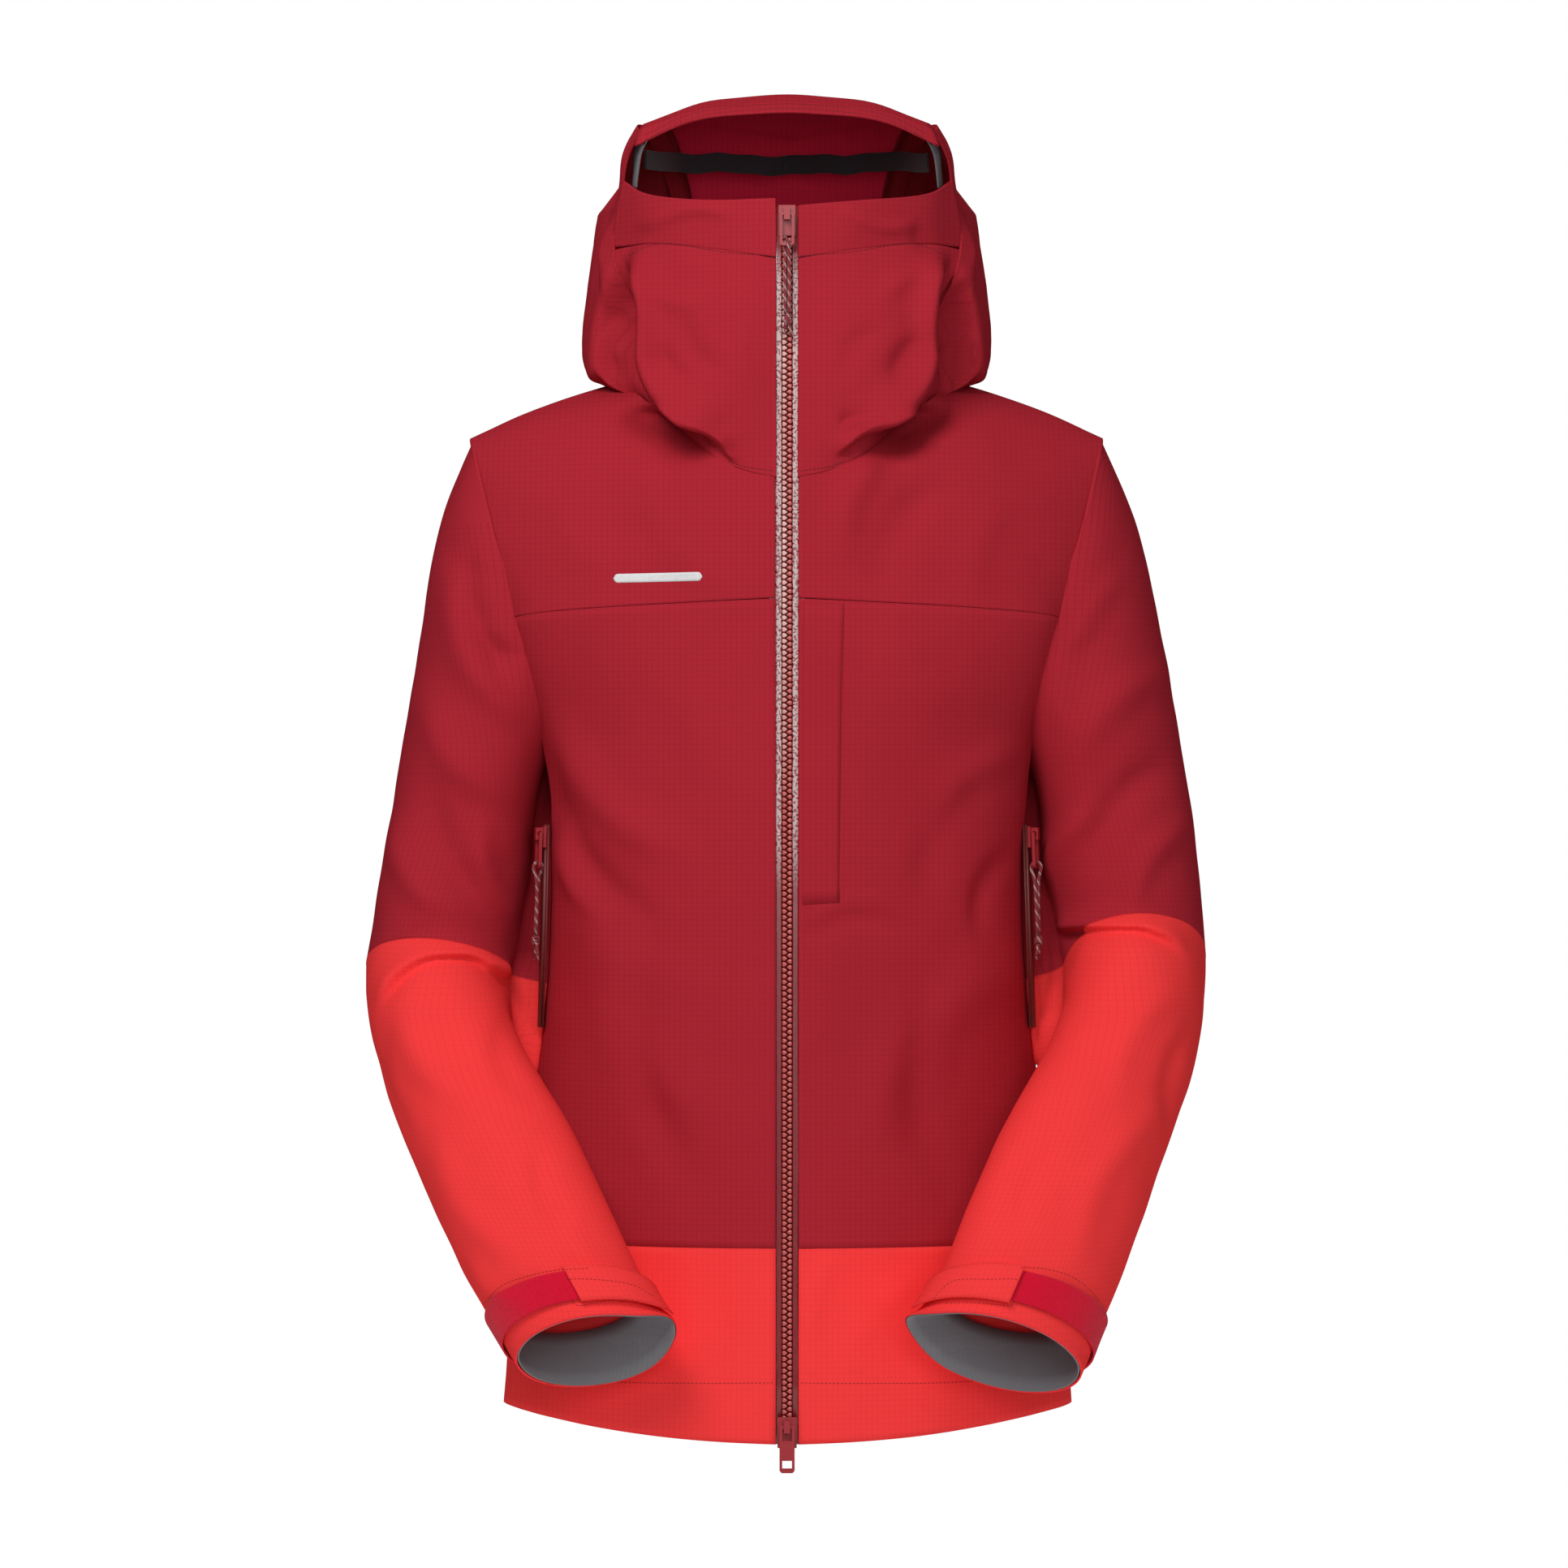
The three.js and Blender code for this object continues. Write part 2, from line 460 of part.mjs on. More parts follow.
function mainZip() {
  const group = new THREE.Group();
  group.position.set(0, ZIP_FOOT_Y, 0);
  group.rotation.x = Math.atan2(ZIP_FOOT_Y - ZIP_HEAD_Y, ZIP_TOP);
  jacket.add(group);
  for (const [side, sign] of [["left", -1], ["right", 1]]) {
    const strip = (x0, x1, y0, y1) => box(Math.min(sign * x0, sign * x1), Math.max(sign * x0, sign * x1),
      y0, y1, 0.5, ZIP_TOP - 1);
    piece(`zip_tape_${side}`, strip(3.8, 11.6, 2.8, 3.5), "tape", group);
    piece(`zip_chain_${side}`, strip(0.6, 3.5, 1.8, 4.3), "teeth", group);
  }
  piece("storm_flap", box(-18, 20, 7, 8, 1, ZIP_TOP - 4), "dark", group);
  const body = { wide: 11, long: 20, pivot: 14, gap: 1.8, back: 4.6 };
  piece("top_slider", slider(body).translate(0, 0, ZIP_TOP - body.long), "metal", group);
  cordedPull("top", group, ZIP_TOP - body.long + body.pivot, 22);
  piece("bottom_slider", slider({ ...body, wide: 12.6 }).translate(0, 0, -2), "metal", group);
  const windows = [[-PULL_BAR / 2, -9], [-22, -27]];
  const tab = frameGeometry(9.9, 31, windows, PULL_BAR).translate(0, PIVOT_Y, body.pivot - 2);
  piece("bottom_pull", tab, "metal", group);
}

function pocketZip(side, sign) {
  const at = (z) => frontSideSeam((z - HEM_BAND_TOP) / (ringPoint(ARMHOLE, ARM_FRONT).z - HEM_BAND_TOP));
  const [foot, head] = [at(POCKET.foot), at(POCKET.head)];
  for (const p of [foot, head]) {
    p.x *= sign;
  }
  const along = head.clone().sub(foot).normalize();
  const inward = V(-sign * Math.cos(radians(POCKET.facing)), Math.sin(radians(POCKET.facing)), 0);
  inward.addScaledVector(along, -inward.dot(along)).normalize();
  const group = new THREE.Group();
  group.applyMatrix4(new THREE.Matrix4().makeBasis(inward.clone().cross(along), inward, along));
  group.position.copy(foot.addScaledVector(inward, -POCKET.standOff));
  jacket.add(group);
  const long = head.distanceTo(foot);
  const strip = solidOf(box(-6, 6, 1.2, 2, 0, long)).add(solidOf(box(-2.4, 2.4, 0.2, 1.6, 0, long)));
  piece(`pocket_zip_${side}`, geometryFrom(strip), "tape", group);
  const size = { wide: 8, long: 14, pivot: 9, gap: 0.2 };
  const top = long - size.long - 1;
  piece(`pocket_${side}_slider`, slider(size).translate(0, 0, top), "metal", group);
  cordedPull(`pocket_${side}`, group, top + size.pivot, 24);
}

// ---------- inside ----------
function pocketsAndLoop() {
  const size = { nu: 5, nv: 5, lift: -4, thick: 1.6 };
  pair("hand_pocket_bag", shell(region(frontSurface, 0.4, 0.94, 0.04, 0.62), size), "grey");
  const chest = (z) => (z - HEM_BAND_TOP) / (YOKE_Z - HEM_BAND_TOP);
  const bag = region(frontSurface, 0.13, 0.6, chest(CHEST_POCKET.foot) + 0.16, 0.96);
  piece("chest_pocket_bag", shell(bag, { ...size, nv: 4 }), "grey");
  const placket = region(frontSurface, 0.01, CHEST_POCKET.share, chest(CHEST_POCKET.foot), 0.995);
  piece("chest_pocket_placket", shell(placket, { nu: 2, nv: 5, lift: 1.5, thick: 0.8 }), "dark");

  const { width, height, strap, thick, y, z } = HANG_LOOP;
  const outer = box(-width / 2, width / 2, y - thick / 2, y + thick / 2, z + strap - height, z + strap);
  const inner = box(strap - width / 2, width / 2 - strap, y - thick, y + thick, z + 2 * strap - height, z);
  piece("hang_loop", geometryFrom(solidOf(outer).subtract(solidOf(inner))), "dark");
}

hemBands();
bodyPanels();
collar();
hood();
sleeve("left");
sleeve("right");
mainZip();
pocketZip("left", -1);
pocketZip("right", 1);
pocketsAndLoop();

const hung = new THREE.Group();
jacket.position.set(0, -HANG_LOOP.y, -HANG_LOOP.z);
hung.add(jacket);

export default hung;
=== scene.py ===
"""The looks of a hooded hardshell jacket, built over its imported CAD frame.

The cloth of each CAD panel is smoothed, folded and given a woven material; zips, cords and stitching
are modelled on top. Metres, +Z up, the jacket's front faces -Y.
"""

import json
import math

import bmesh
import bpy
import numpy as np
from mathutils import Matrix, Vector, noise
from mathutils.bvhtree import BVHTree


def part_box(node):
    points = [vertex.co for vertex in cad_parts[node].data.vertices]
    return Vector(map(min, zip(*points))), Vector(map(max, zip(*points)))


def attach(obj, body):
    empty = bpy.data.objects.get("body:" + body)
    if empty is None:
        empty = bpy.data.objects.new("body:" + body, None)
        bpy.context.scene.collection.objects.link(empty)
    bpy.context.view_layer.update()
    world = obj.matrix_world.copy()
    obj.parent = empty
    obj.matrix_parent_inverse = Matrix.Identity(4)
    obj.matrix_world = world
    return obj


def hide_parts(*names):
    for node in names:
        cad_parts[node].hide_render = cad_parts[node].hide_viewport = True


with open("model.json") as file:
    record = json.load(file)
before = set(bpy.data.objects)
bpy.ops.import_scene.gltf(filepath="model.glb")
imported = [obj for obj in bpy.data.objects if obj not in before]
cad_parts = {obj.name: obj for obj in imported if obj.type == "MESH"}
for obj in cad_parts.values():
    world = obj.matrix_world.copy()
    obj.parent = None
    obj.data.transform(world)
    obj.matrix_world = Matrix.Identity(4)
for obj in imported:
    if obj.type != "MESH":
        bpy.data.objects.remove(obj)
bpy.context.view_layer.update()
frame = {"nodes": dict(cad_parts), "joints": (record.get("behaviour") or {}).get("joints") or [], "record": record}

MM = 0.001


# The hem's middle line in the frame, in mm: the frame's origin is at the hang loop.
HEM_BACK, HEM_UP = -79, -716
NODES = frame["nodes"]
JOINTS = {joint["name"]: joint for joint in frame["joints"]}
BODIES = frame["record"]["behaviour"]["bodies"]
BODY_OF = {node: body for body, nodes in BODIES.items() for node in nodes}

# ---------- places that come from the frame ----------
CHAIN_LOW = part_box("zip_chain_right")[0]
HEM_Z = CHAIN_LOW.z
ZIP_Y = CHAIN_LOW.y
BODY_MIDDLE_Y = (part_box("back_panel")[1].y + ZIP_Y) / 2


# ---------- camera ----------
CAMERA_AWAY = 4.0
CAMERA_HEIGHT = 0.431
CAMERA_ASIDE = -0.002
SEEN_WIDTH = 1.024
camera = bpy.data.objects.new("camera", bpy.data.cameras.new("camera"))
camera.data.sensor_width = 36
camera.data.lens = camera.data.sensor_width * CAMERA_AWAY / SEEN_WIDTH
camera.location = (CAMERA_ASIDE, ZIP_Y - CAMERA_AWAY, HEM_Z + CAMERA_HEIGHT)
camera.rotation_euler = (math.pi / 2, 0, 0)
bpy.context.collection.objects.link(camera)
bpy.context.scene.camera = camera


# ---------- materials ----------
def new_material(name, colour, roughness, **more):
    """A material, its tree and its shader. More of the shader's inputs have _ for the spaces."""
    material = bpy.data.materials.new(name)
    material.use_nodes = True
    shader = material.node_tree.nodes["Principled BSDF"]
    inputs = {"Base_Color": (*colour, 1), "Roughness": roughness, **more}
    for key, value in inputs.items():
        shader.inputs[key.replace("_", " ")].default_value = value
    return material, material.node_tree, shader


def add(tree, kind, **values):
    node = tree.nodes.new(kind)
    for key, value in values.items():
        if key in node.inputs:
            node.inputs[key].default_value = value
        else:
            setattr(node, key, value)
    return node


def maths(tree, operation, a, b=None):
    node = add(tree, "ShaderNodeMath", operation=operation)
    for slot, value in enumerate((a, b)):
        if isinstance(value, (int, float)):
            node.inputs[slot].default_value = value
        elif value is not None:
            tree.links.new(value, node.inputs[slot])
    return node.outputs[0]


def times(tree, a, b):
    return maths(tree, "MULTIPLY", a, b)


def tint(tree, shader, base, other, factor):
    """Mixes the shader's base colour towards another where factor is high."""
    mix = add(tree, "ShaderNodeMix", data_type="RGBA")
    previous = shader.inputs["Base Color"].links
    if previous:
        tree.links.new(previous[0].from_socket, mix.inputs["A"])
    else:
        mix.inputs["A"].default_value = (*base, 1)
    mix.inputs["B"].default_value = (*other, 1)
    tree.links.new(factor, mix.inputs["Factor"])
    tree.links.new(mix.outputs["Result"], shader.inputs["Base Color"])


def bump(tree, shader, height, distance, strength=1.0):
    node = add(tree, "ShaderNodeBump", Distance=distance, Strength=strength)
    tree.links.new(height, node.inputs["Height"])
    previous = shader.inputs["Normal"].links
    if previous:
        tree.links.new(previous[0].from_socket, node.inputs["Normal"])
    tree.links.new(node.outputs["Normal"], shader.inputs["Normal"])


def own_place(tree):
    """The place on the object, in metres, and its three axes by name."""
    place = add(tree, "ShaderNodeTexCoord").outputs["Object"]
    split = add(tree, "ShaderNodeSeparateXYZ")
    tree.links.new(place, split.inputs[0])
    return place, split.outputs


def noise_of(tree, vector, scale, detail=2.0):
    node = add(tree, "ShaderNodeTexNoise", Scale=scale, Detail=detail)
    tree.links.new(vector, node.inputs["Vector"])
    return node.outputs["Fac"]


def lines(tree, coordinate, pitch, share):
    """1 on a line's share of every pitch, else 0."""
    cycle = maths(tree, "FRACT", maths(tree, "DIVIDE", coordinate, pitch))
    return maths(tree, "LESS_THAN", cycle, share)


def shade(colour, factor):
    return tuple(c * factor for c in colour)


RIPSTOP_PITCH = 3.7 * MM
RIPSTOP_SHARE = 0.14
THREAD_PITCH = 0.62 * MM


def ripstop(name, colour, roughness=0.55, grid=0.5):
    """Woven nylon with a thicker thread every few millimetres each way, on the "weave" UV map in metres."""
    material, tree, shader = new_material(name, colour, roughness, Specular_IOR_Level=0.0)
    uv = add(tree, "ShaderNodeUVMap", uv_map="weave").outputs["UV"]
    split = add(tree, "ShaderNodeSeparateXYZ")
    tree.links.new(uv, split.inputs[0])
    across, along = split.outputs["X"], split.outputs["Y"]
    upright, level = (
        times(tree, lines(tree, a, RIPSTOP_PITCH, RIPSTOP_SHARE), lines(tree, b, 2 * THREAD_PITCH, 0.55))
        for a, b in ((across, along), (along, across)))
    threads = maths(tree, "MAXIMUM", upright, times(tree, level, 0.7))
    tint(tree, shader, colour, shade(colour, 0.55), times(tree, threads, grid))
    patchy = noise_of(tree, uv, 9, 3)
    patches = times(tree, maths(tree, "SUBTRACT", patchy, 0.45), 0.9)
    tint(tree, shader, colour, shade(colour, 0.8), patches)
    fine = noise_of(tree, uv, 900, 2)
    bump(tree, shader, fine, 0.06 * MM, 0.35)
    bump(tree, shader, threads, 0.05 * MM, 0.5)
    crinkle = noise_of(tree, uv, 45, 3)
    bump(tree, shader, crinkle, 1.2 * MM, 0.34)
    return material


DARK = (0.415, 0.022, 0.036)
BRIGHT = (0.98, 0.052, 0.054)
GREY = (0.24, 0.235, 0.25)

dark_cloth = ripstop("dark ripstop", DARK)
bright_cloth = ripstop("bright ripstop", BRIGHT, grid=0.3)
# The hood's inside: the shell's red made about twice as bright, painted light for the shade inside the hood.
painted_lit_inner_cloth = ripstop("inner hood ripstop", (0.93, 0.03, 0.09))
grey_cloth = ripstop("grey backing", GREY, 0.5, 0.25)


def pile_material():
    """The loop half of hook-and-loop tape: short fuzzy loops."""
    colour = (0.8, 0.004, 0.034)
    material, tree, shader = new_material("loop pile", colour, 0.95, Sheen_Weight=0.12,
                                          Specular_IOR_Level=0.1)
    fuzz = noise_of(tree, own_place(tree)[0], 1500, 4)
    tips = times(tree, maths(tree, "SUBTRACT", fuzz, 0.5), 2)
    tint(tree, shader, colour, shade(colour, 0.5), tips)
    bump(tree, shader, fuzz, 0.9 * MM, 1.0)
    return material


def elastic_material():
    colour = (0.019, 0.017, 0.021)
    material, tree, shader = new_material("black elastic", colour, 0.85, Sheen_Weight=0.2)
    ribs = lines(tree, own_place(tree)[1]["X"], 1.1 * MM, 0.5)
    tint(tree, shader, colour, (0.045, 0.042, 0.048), times(tree, ribs, 0.6))
    bump(tree, shader, ribs, 0.2 * MM, 0.6)
    return material


# Heights between which each part of the zip gets a painted highlight, where it would catch the light, in mm from
# the hem.
TAPE_GLINTS, TEETH_GLINTS = (360, 782), (420, 765)


def painted_highlight_band(tree, height, low, high):
    """The band of the zip's painted highlight, where it would catch the studio light: the stretch between two
    heights, with soft ends.
    """
    start = times(tree, maths(tree, "SUBTRACT", height, HEM_Z + low * MM), 25)
    end = times(tree, maths(tree, "SUBTRACT", HEM_Z + high * MM, height), 40)
    both = maths(tree, "MINIMUM", maths(tree, "MINIMUM", start, end), 1.0)
    return maths(tree, "MAXIMUM", both, 0.0)


def tape_material():
    """Coated zip tape: glossy, with a herringbone knit, and a painted highlight on the knit's loops between two
    heights.
    """
    colour = (0.3, 0.006, 0.016)
    material, tree, shader = new_material("coated tape", colour, 0.22, Coat_Weight=0.6, Coat_Roughness=0.15)
    place, axes = own_place(tree)
    slants = [maths(tree, way, axes["Z"], axes["X"]) for way in ("ADD", "SUBTRACT")]
    knit = times(tree, *[lines(tree, slant, 1.1 * MM, 0.75) for slant in slants])
    loose = noise_of(tree, place, 650, 2)
    broken = maths(tree, "GREATER_THAN", loose, 0.47)
    painted_lit = painted_highlight_band(tree, axes["Z"], *TAPE_GLINTS)
    painted_shine = times(tree, times(tree, knit, broken), painted_lit)
    speck = noise_of(tree, place, 1300, 3)
    tint(tree, shader, colour, shade(colour, 0.55), speck)
    # Painted highlight: the knit's loops made pale where the zip would catch the light.
    tint(tree, shader, colour, (0.95, 0.8, 0.78), times(tree, painted_shine, 0.85))
    bump(tree, shader, speck, 0.4 * MM, 0.8)
    bump(tree, shader, knit, 0.25 * MM, 0.8)
    return material


def teeth_material():
    """Moulded plastic teeth, with a painted highlight on the left row between two heights."""
    colour = (0.6, 0.1, 0.085)
    material, tree, shader = new_material("zip teeth", colour, 0.26, Coat_Weight=0.5)
    place, axes = own_place(tree)
    wear = noise_of(tree, place, 420, 4)
    tint(tree, shader, colour, shade(colour, 0.7), wear)
    # Painted highlight: the left row made paler where the light would catch it.
    left = maths(tree, "LESS_THAN", axes["X"], 0.0002)
    patchy = times(tree, noise_of(tree, place, 9, 1), 1.1)
    painted_lit = times(tree, times(tree, painted_highlight_band(tree, axes["Z"], *TEETH_GLINTS), left), patchy)
    tint(tree, shader, colour, (0.92, 0.62, 0.56), painted_lit)
    bump(tree, shader, wear, 0.08 * MM, 0.5)
    return material


def hard_material(name, colour, roughness, coat=0.0):
    material, tree, shader = new_material(name, colour, roughness, Coat_Weight=coat)
    wear = noise_of(tree, own_place(tree)[0], 420, 4)
    tint(tree, shader, colour, shade(colour, 0.75), wear)
    bump(tree, shader, wear, 0.08 * MM, 0.5)
    return material


def cord_material():
    """Braided cord: dark red with pairs of pale flecks in slanted rows."""
    colour = (0.22, 0.012, 0.022)
    material, tree, shader = new_material("fleck cord", colour, 0.7, Sheen_Weight=0.2)
    place, axes = own_place(tree)
    slant = maths(tree, "ADD", axes["Z"], times(tree, axes["X"], 1.6))
    rows = lines(tree, slant, 7.5 * MM, 0.27)
    checks = times(tree, lines(tree, slant, 0.85 * MM, 0.6), lines(tree, axes["X"], 0.8 * MM, 0.6))
    tint(tree, shader, colour, (0.75, 0.68, 0.64), times(tree, rows, checks))
    braid = noise_of(tree, place, 1800, 2)
    bump(tree, shader, braid, 0.3 * MM, 0.8)
    return material


pile = pile_material()
elastic = elastic_material()
tape = tape_material()
teeth_plastic = teeth_material()
painted = hard_material("painted metal", (0.4, 0.014, 0.024), 0.42, 0.1)
fleck_cord = cord_material()
coil = hard_material("zip coil", (0.16, 0.02, 0.018), 0.5, 0.1)
thread = hard_material("thread", (0.13, 0.006, 0.013), 0.8)
bright_thread = hard_material("bright thread", (0.42, 0.016, 0.024), 0.8)
white_print = hard_material("white print", (0.82, 0.82, 0.82), 0.6)


# ---------- making pieces ----------
def object_of(name, mesh, materials):
    piece = bpy.data.objects.new(name, mesh)
    bpy.context.collection.objects.link(piece)
    mesh.materials.clear()
    for material in materials:
        mesh.materials.append(material)
    return piece


RIM_ANGLE = 0.9
RIM_WIDTH = 1.75 * MM


def push_rims(sheet, widen):
    """Moves the edges of a sheet outwards in its own plane, to close the gap left at a seam."""
    moves = {}
    for face in sheet.faces:
        sharp = sum(len(e.link_faces) == 2 and e.calc_face_angle(0) > RIM_ANGLE for e in face.edges)
        if sharp >= 2 and min(e.calc_length() for e in face.edges) < RIM_WIDTH:
            for vertex in face.verts:
                moves.setdefault(vertex, Vector())
                moves[vertex] += face.normal
    for vertex, away in moves.items():
        if away.length > 0.1:
            vertex.co += away.normalized() * widen


def smooth_copy(node, levels, widen=0.2 * MM):
    """The CAD node's mesh with its triangles joined to quads and subdivided; its hard edges stay hard."""
    source = bmesh.new()
    source.from_mesh(NODES[node].data)
    bmesh.ops.remove_doubles(source, verts=source.verts, dist=1e-5)
    bmesh.ops.join_triangles(source, faces=source.faces, angle_face_threshold=0.7,
                             angle_shape_threshold=1.2, cmp_seam=False, cmp_sharp=False, cmp_uvs=False,
                             cmp_vcols=False, cmp_materials=False)
    source.normal_update()
    push_rims(source, widen)
    source.normal_update()
    crease = source.edges.layers.float.new("crease_edge")
    for edge in source.edges:
        if len(edge.link_faces) == 2 and edge.calc_face_angle(0) > RIM_ANGLE:
            edge[crease] = 1.0
    mesh = bpy.data.meshes.new(f"{node}_coarse")
    source.to_mesh(mesh)
    source.free()
    coarse = object_of(f"{node}_coarse", mesh, [])
    subdivide = coarse.modifiers.new("smooth", "SUBSURF")
    subdivide.levels = levels
    subdivide.render_levels = levels
    smoothed = coarse.evaluated_get(bpy.context.evaluated_depsgraph_get())
    fine = bpy.data.meshes.new_from_object(smoothed)
    bpy.data.objects.remove(coarse)
    fine.name = f"{node}_skin"
    return fine


def places(mesh):
    flat = np.empty(len(mesh.vertices) * 3)
    mesh.vertices.foreach_get("co", flat)
    return flat.reshape(-1, 3)


def put_places(mesh, points):
    mesh.vertices.foreach_set("co", points.ravel())
    mesh.update()


def shifted(points, x=0.0, y=0.0, z=0.0):
    moved = points.copy()
    for axis, by in enumerate((x, y, z)):
        moved[:, axis] += by
    return moved


def bell(x, width):
    return np.exp(-((x / width) ** 2))


def smoothstep(x, low, high):
    t = np.clip((x - low) / (high - low), 0, 1)
    return t * t * (3 - 2 * t)


# A fold seen from the front, in mm from the zip line and the hem:
# start x, z, end x, z, half width, and how far it stands out.
FRONT_FOLDS = [
    (-150, 470, -70, 385, 13, 6.0), (-160, 440, -95, 345, 11, -5.5), (-150, 405, -122, 345, 8, 6.0),
    (-140, 350, -60, 300, 17, 4.0), (-125, 320, -35, 205, 22, 5.0), (-90, 330, -62, 170, 14, -4.5),
    (152, 455, 96, 400, 11, 3.6), (120, 430, 92, 350, 13, -3.6), (146, 385, 126, 335, 8, -4.0),
    (62, 352, 18, 345, 4, 2.6), (80, 336, 10, 331, 4, -2.0), (140, 310, 55, 205, 20, 5.0),
    (95, 300, 105, 165, 14, -4.5), (-60, 490, -28, 420, 16, 2.4), (62, 530, 122, 478, 20, 3.0),
    (-92, 650, -38, 556, 16, 3.6), (64, 650, 36, 585, 11, 4.0), (104, 630, 58, 556, 14, -3.4),
    (-158, 240, -108, 150, 18, 4.0), (-70, 118, -36, 52, 11, 2.4), (84, 108, 42, 52, 11, 2.4),
    (-32, 132, -16, 60, 8, 1.8), (30, 124, 20, 50, 8, 1.8), (-150, 620, -110, 570, 16, 2.5),
    (140, 610, 120, 560, 14, 2.5), (-176, 110, -120, 40, 15, 3.0), (176, 110, 120, 30, 15, 3.0),
]
SLEEVE_FOLDS = {"left": [
    (-225, 570, -180, 470, 10, 6.5), (-200, 610, -186, 500, 8, -6.0), (-243, 490, -185, 420, 12, 5.0),
    (-238, 425, -198, 350, 12, -5.0), (-264, 405, -224, 345, 11, 5.0), (-205, 400, -180, 338, 9, 4.5),
    (-255, 285, -212, 228, 12, 4.5), (-190, 272, -166, 225, 9, -4.0),
    (-228, 205, -178, 128, 12, 4.0), (-162, 192, -133, 138, 9, -3.4), (-268, 262, -250, 200, 8, -3.0),
    (-140, 150, -118, 118, 8, 2.5), (-205, 120, -170, 96, 8, 2.5),
], "right": [
    (215, 565, 182, 470, 10, 6.5), (206, 615, 190, 500, 8, -6.0), (247, 505, 190, 440, 12, 5.0),
    (252, 445, 203, 378, 12, -5.0), (264, 405, 228, 348, 10, 4.5), (200, 412, 172, 348, 9, 4.5),
    (182, 302, 158, 268, 6, 5.0), (252, 295, 213, 238, 12, 4.5),
    (237, 215, 188, 128, 12, 4.0), (167, 205, 138, 138, 9, -3.4), (266, 270, 252, 205, 8, -3.0),
]}
COLLAR_FOLDS = [
    (-70, 735, -45, 700, 9, -3.0), (-100, 768, -60, 746, 8, 3.2), (-84, 716, -64, 696, 7, -2.6),
    (72, 700, 94, 738, 9, -3.0), (100, 768, 62, 752, 8, 2.8), (60, 730, 36, 700, 9, -2.0),
    (40, 806, 85, 800, 5, 2.2), (-40, 806, -90, 800, 5, 2.2), (88, 724, 70, 700, 6, -2.2),
    (-30, 730, -20, 690, 8, 1.2), (84, 800, 104, 780, 6, -2.5), (-92, 800, -108, 776, 6, -2.2),
]


def fold_heights(points, folds):
    """How far each point stands out, in metres, from a list of folds."""
    x, z = points[:, 0] / MM, (points[:, 2] - HEM_Z) / MM
    total = np.zeros(len(points))
    for x0, z0, x1, z1, half, height in folds:
        run = np.array([x1 - x0, z1 - z0])
        length = np.hypot(*run)
        along = ((x - x0) * run[0] + (z - z0) * run[1]) / length**2
        off = ((x - x0) * run[1] - (z - z0) * run[0]) / length
        bend = off - 0.12 * length * np.sin(np.clip(along, 0, 1) * math.pi)
        ends = smoothstep(along, -0.25, 0.3) * smoothstep(-along, -1.25, -0.6)
        total += height * ends * bell(bend, half)
    return total * MM


# A tuck: the cloth above its line stands out and casts a shadow on what is below it. Each is a line of
# x, z from left to right, in mm from the zip line and the hem, then how far it stands out and how wide.
ELBOW_TUCKS = {
    "left": [([(-274, 280), (-265, 293), (-254, 306), (-238, 315.5), (-220, 317), (-207, 315),
               (-195, 307), (-182, 297), (-170, 287)], 7.0, 10)],
    "right": [([(152, 292), (160, 313), (170, 325), (186, 332), (207, 335), (231, 335.5),
                (242, 333), (254, 327), (268, 316)], 7.0, 10)],
}
NECK_TUCKS = [
    ([(-86, 688), (-72, 676), (-60, 668), (-48, 658), (-36, 646)], 7.0, 8),
    ([(-66, 668), (-56, 664), (-44, 650), (-32, 640)], 4.0, 5),
    ([(30, 644), (44, 655), (58, 668), (74, 676), (88, 682)], 7.0, 8),
    ([(34, 664), (46, 672), (56, 676), (66, 676)], -3.0, 6),
]
TUCK_EDGE = 2.6


def tuck_heights(points, tucks):
    x, z = points[:, 0] / MM, (points[:, 2] - HEM_Z) / MM
    total = np.zeros(len(points))
    for line, height, width in tucks:
        line = np.array(smooth_line(line, 6))
        steps = np.diff(line, axis=0)
        lengths = np.hypot(*steps.T)
        starts = np.append(0, np.cumsum(lengths))
        nearest = np.full(len(points), 1e9)
        above = np.zeros(len(points))
        share = np.zeros(len(points))
        for (x0, z0), (dx, dz), length, start in zip(line, steps, lengths, starts):
            along = np.clip(((x - x0) * dx + (z - z0) * dz) / length**2, 0, 1)
            off_x, off_z = x - x0 - along * dx, z - z0 - along * dz
            distance = np.hypot(off_x, off_z)
            closer = distance < nearest
            nearest[closer] = distance[closer]
            above[closer] = (dx * off_z - dz * off_x)[closer]
            share[closer] = ((start + along * length) / starts[-1])[closer]
        signed = np.sign(above) * nearest
        over = bell(signed, width) * smoothstep(signed, -TUCK_EDGE, TUCK_EDGE)
        under = bell(signed, 0.7 * width) * smoothstep(-signed, -TUCK_EDGE, TUCK_EDGE)
        ends = smoothstep(share, 0, 0.2) * (1 - smoothstep(share, 0.8, 1))
        total += height * ends * (over - 0.55 * under)
    return total * MM


def unevenness(points, scale, height, seed):
    shift = Vector((seed, 2 * seed, 3 * seed))
    return np.array([noise.noise(Vector(p) * scale + shift) for p in points]) * height


def outwards(points, middle):
    """Unit vectors from an upright axis or a sleeve's axis to each point."""
    away = points - middle(points)
    return away / np.maximum(np.linalg.norm(away, axis=1, keepdims=True), 1e-6)


def body_middle(points):
    return np.stack([points[:, 0] * 0.35, np.full(len(points), BODY_MIDDLE_Y), points[:, 2]], axis=1)


def at_heights(corners, heights, near):
    """For each height, the corners that are near it."""
    return [corners[np.abs(corners[:, 2] - height) < near] for height in heights]


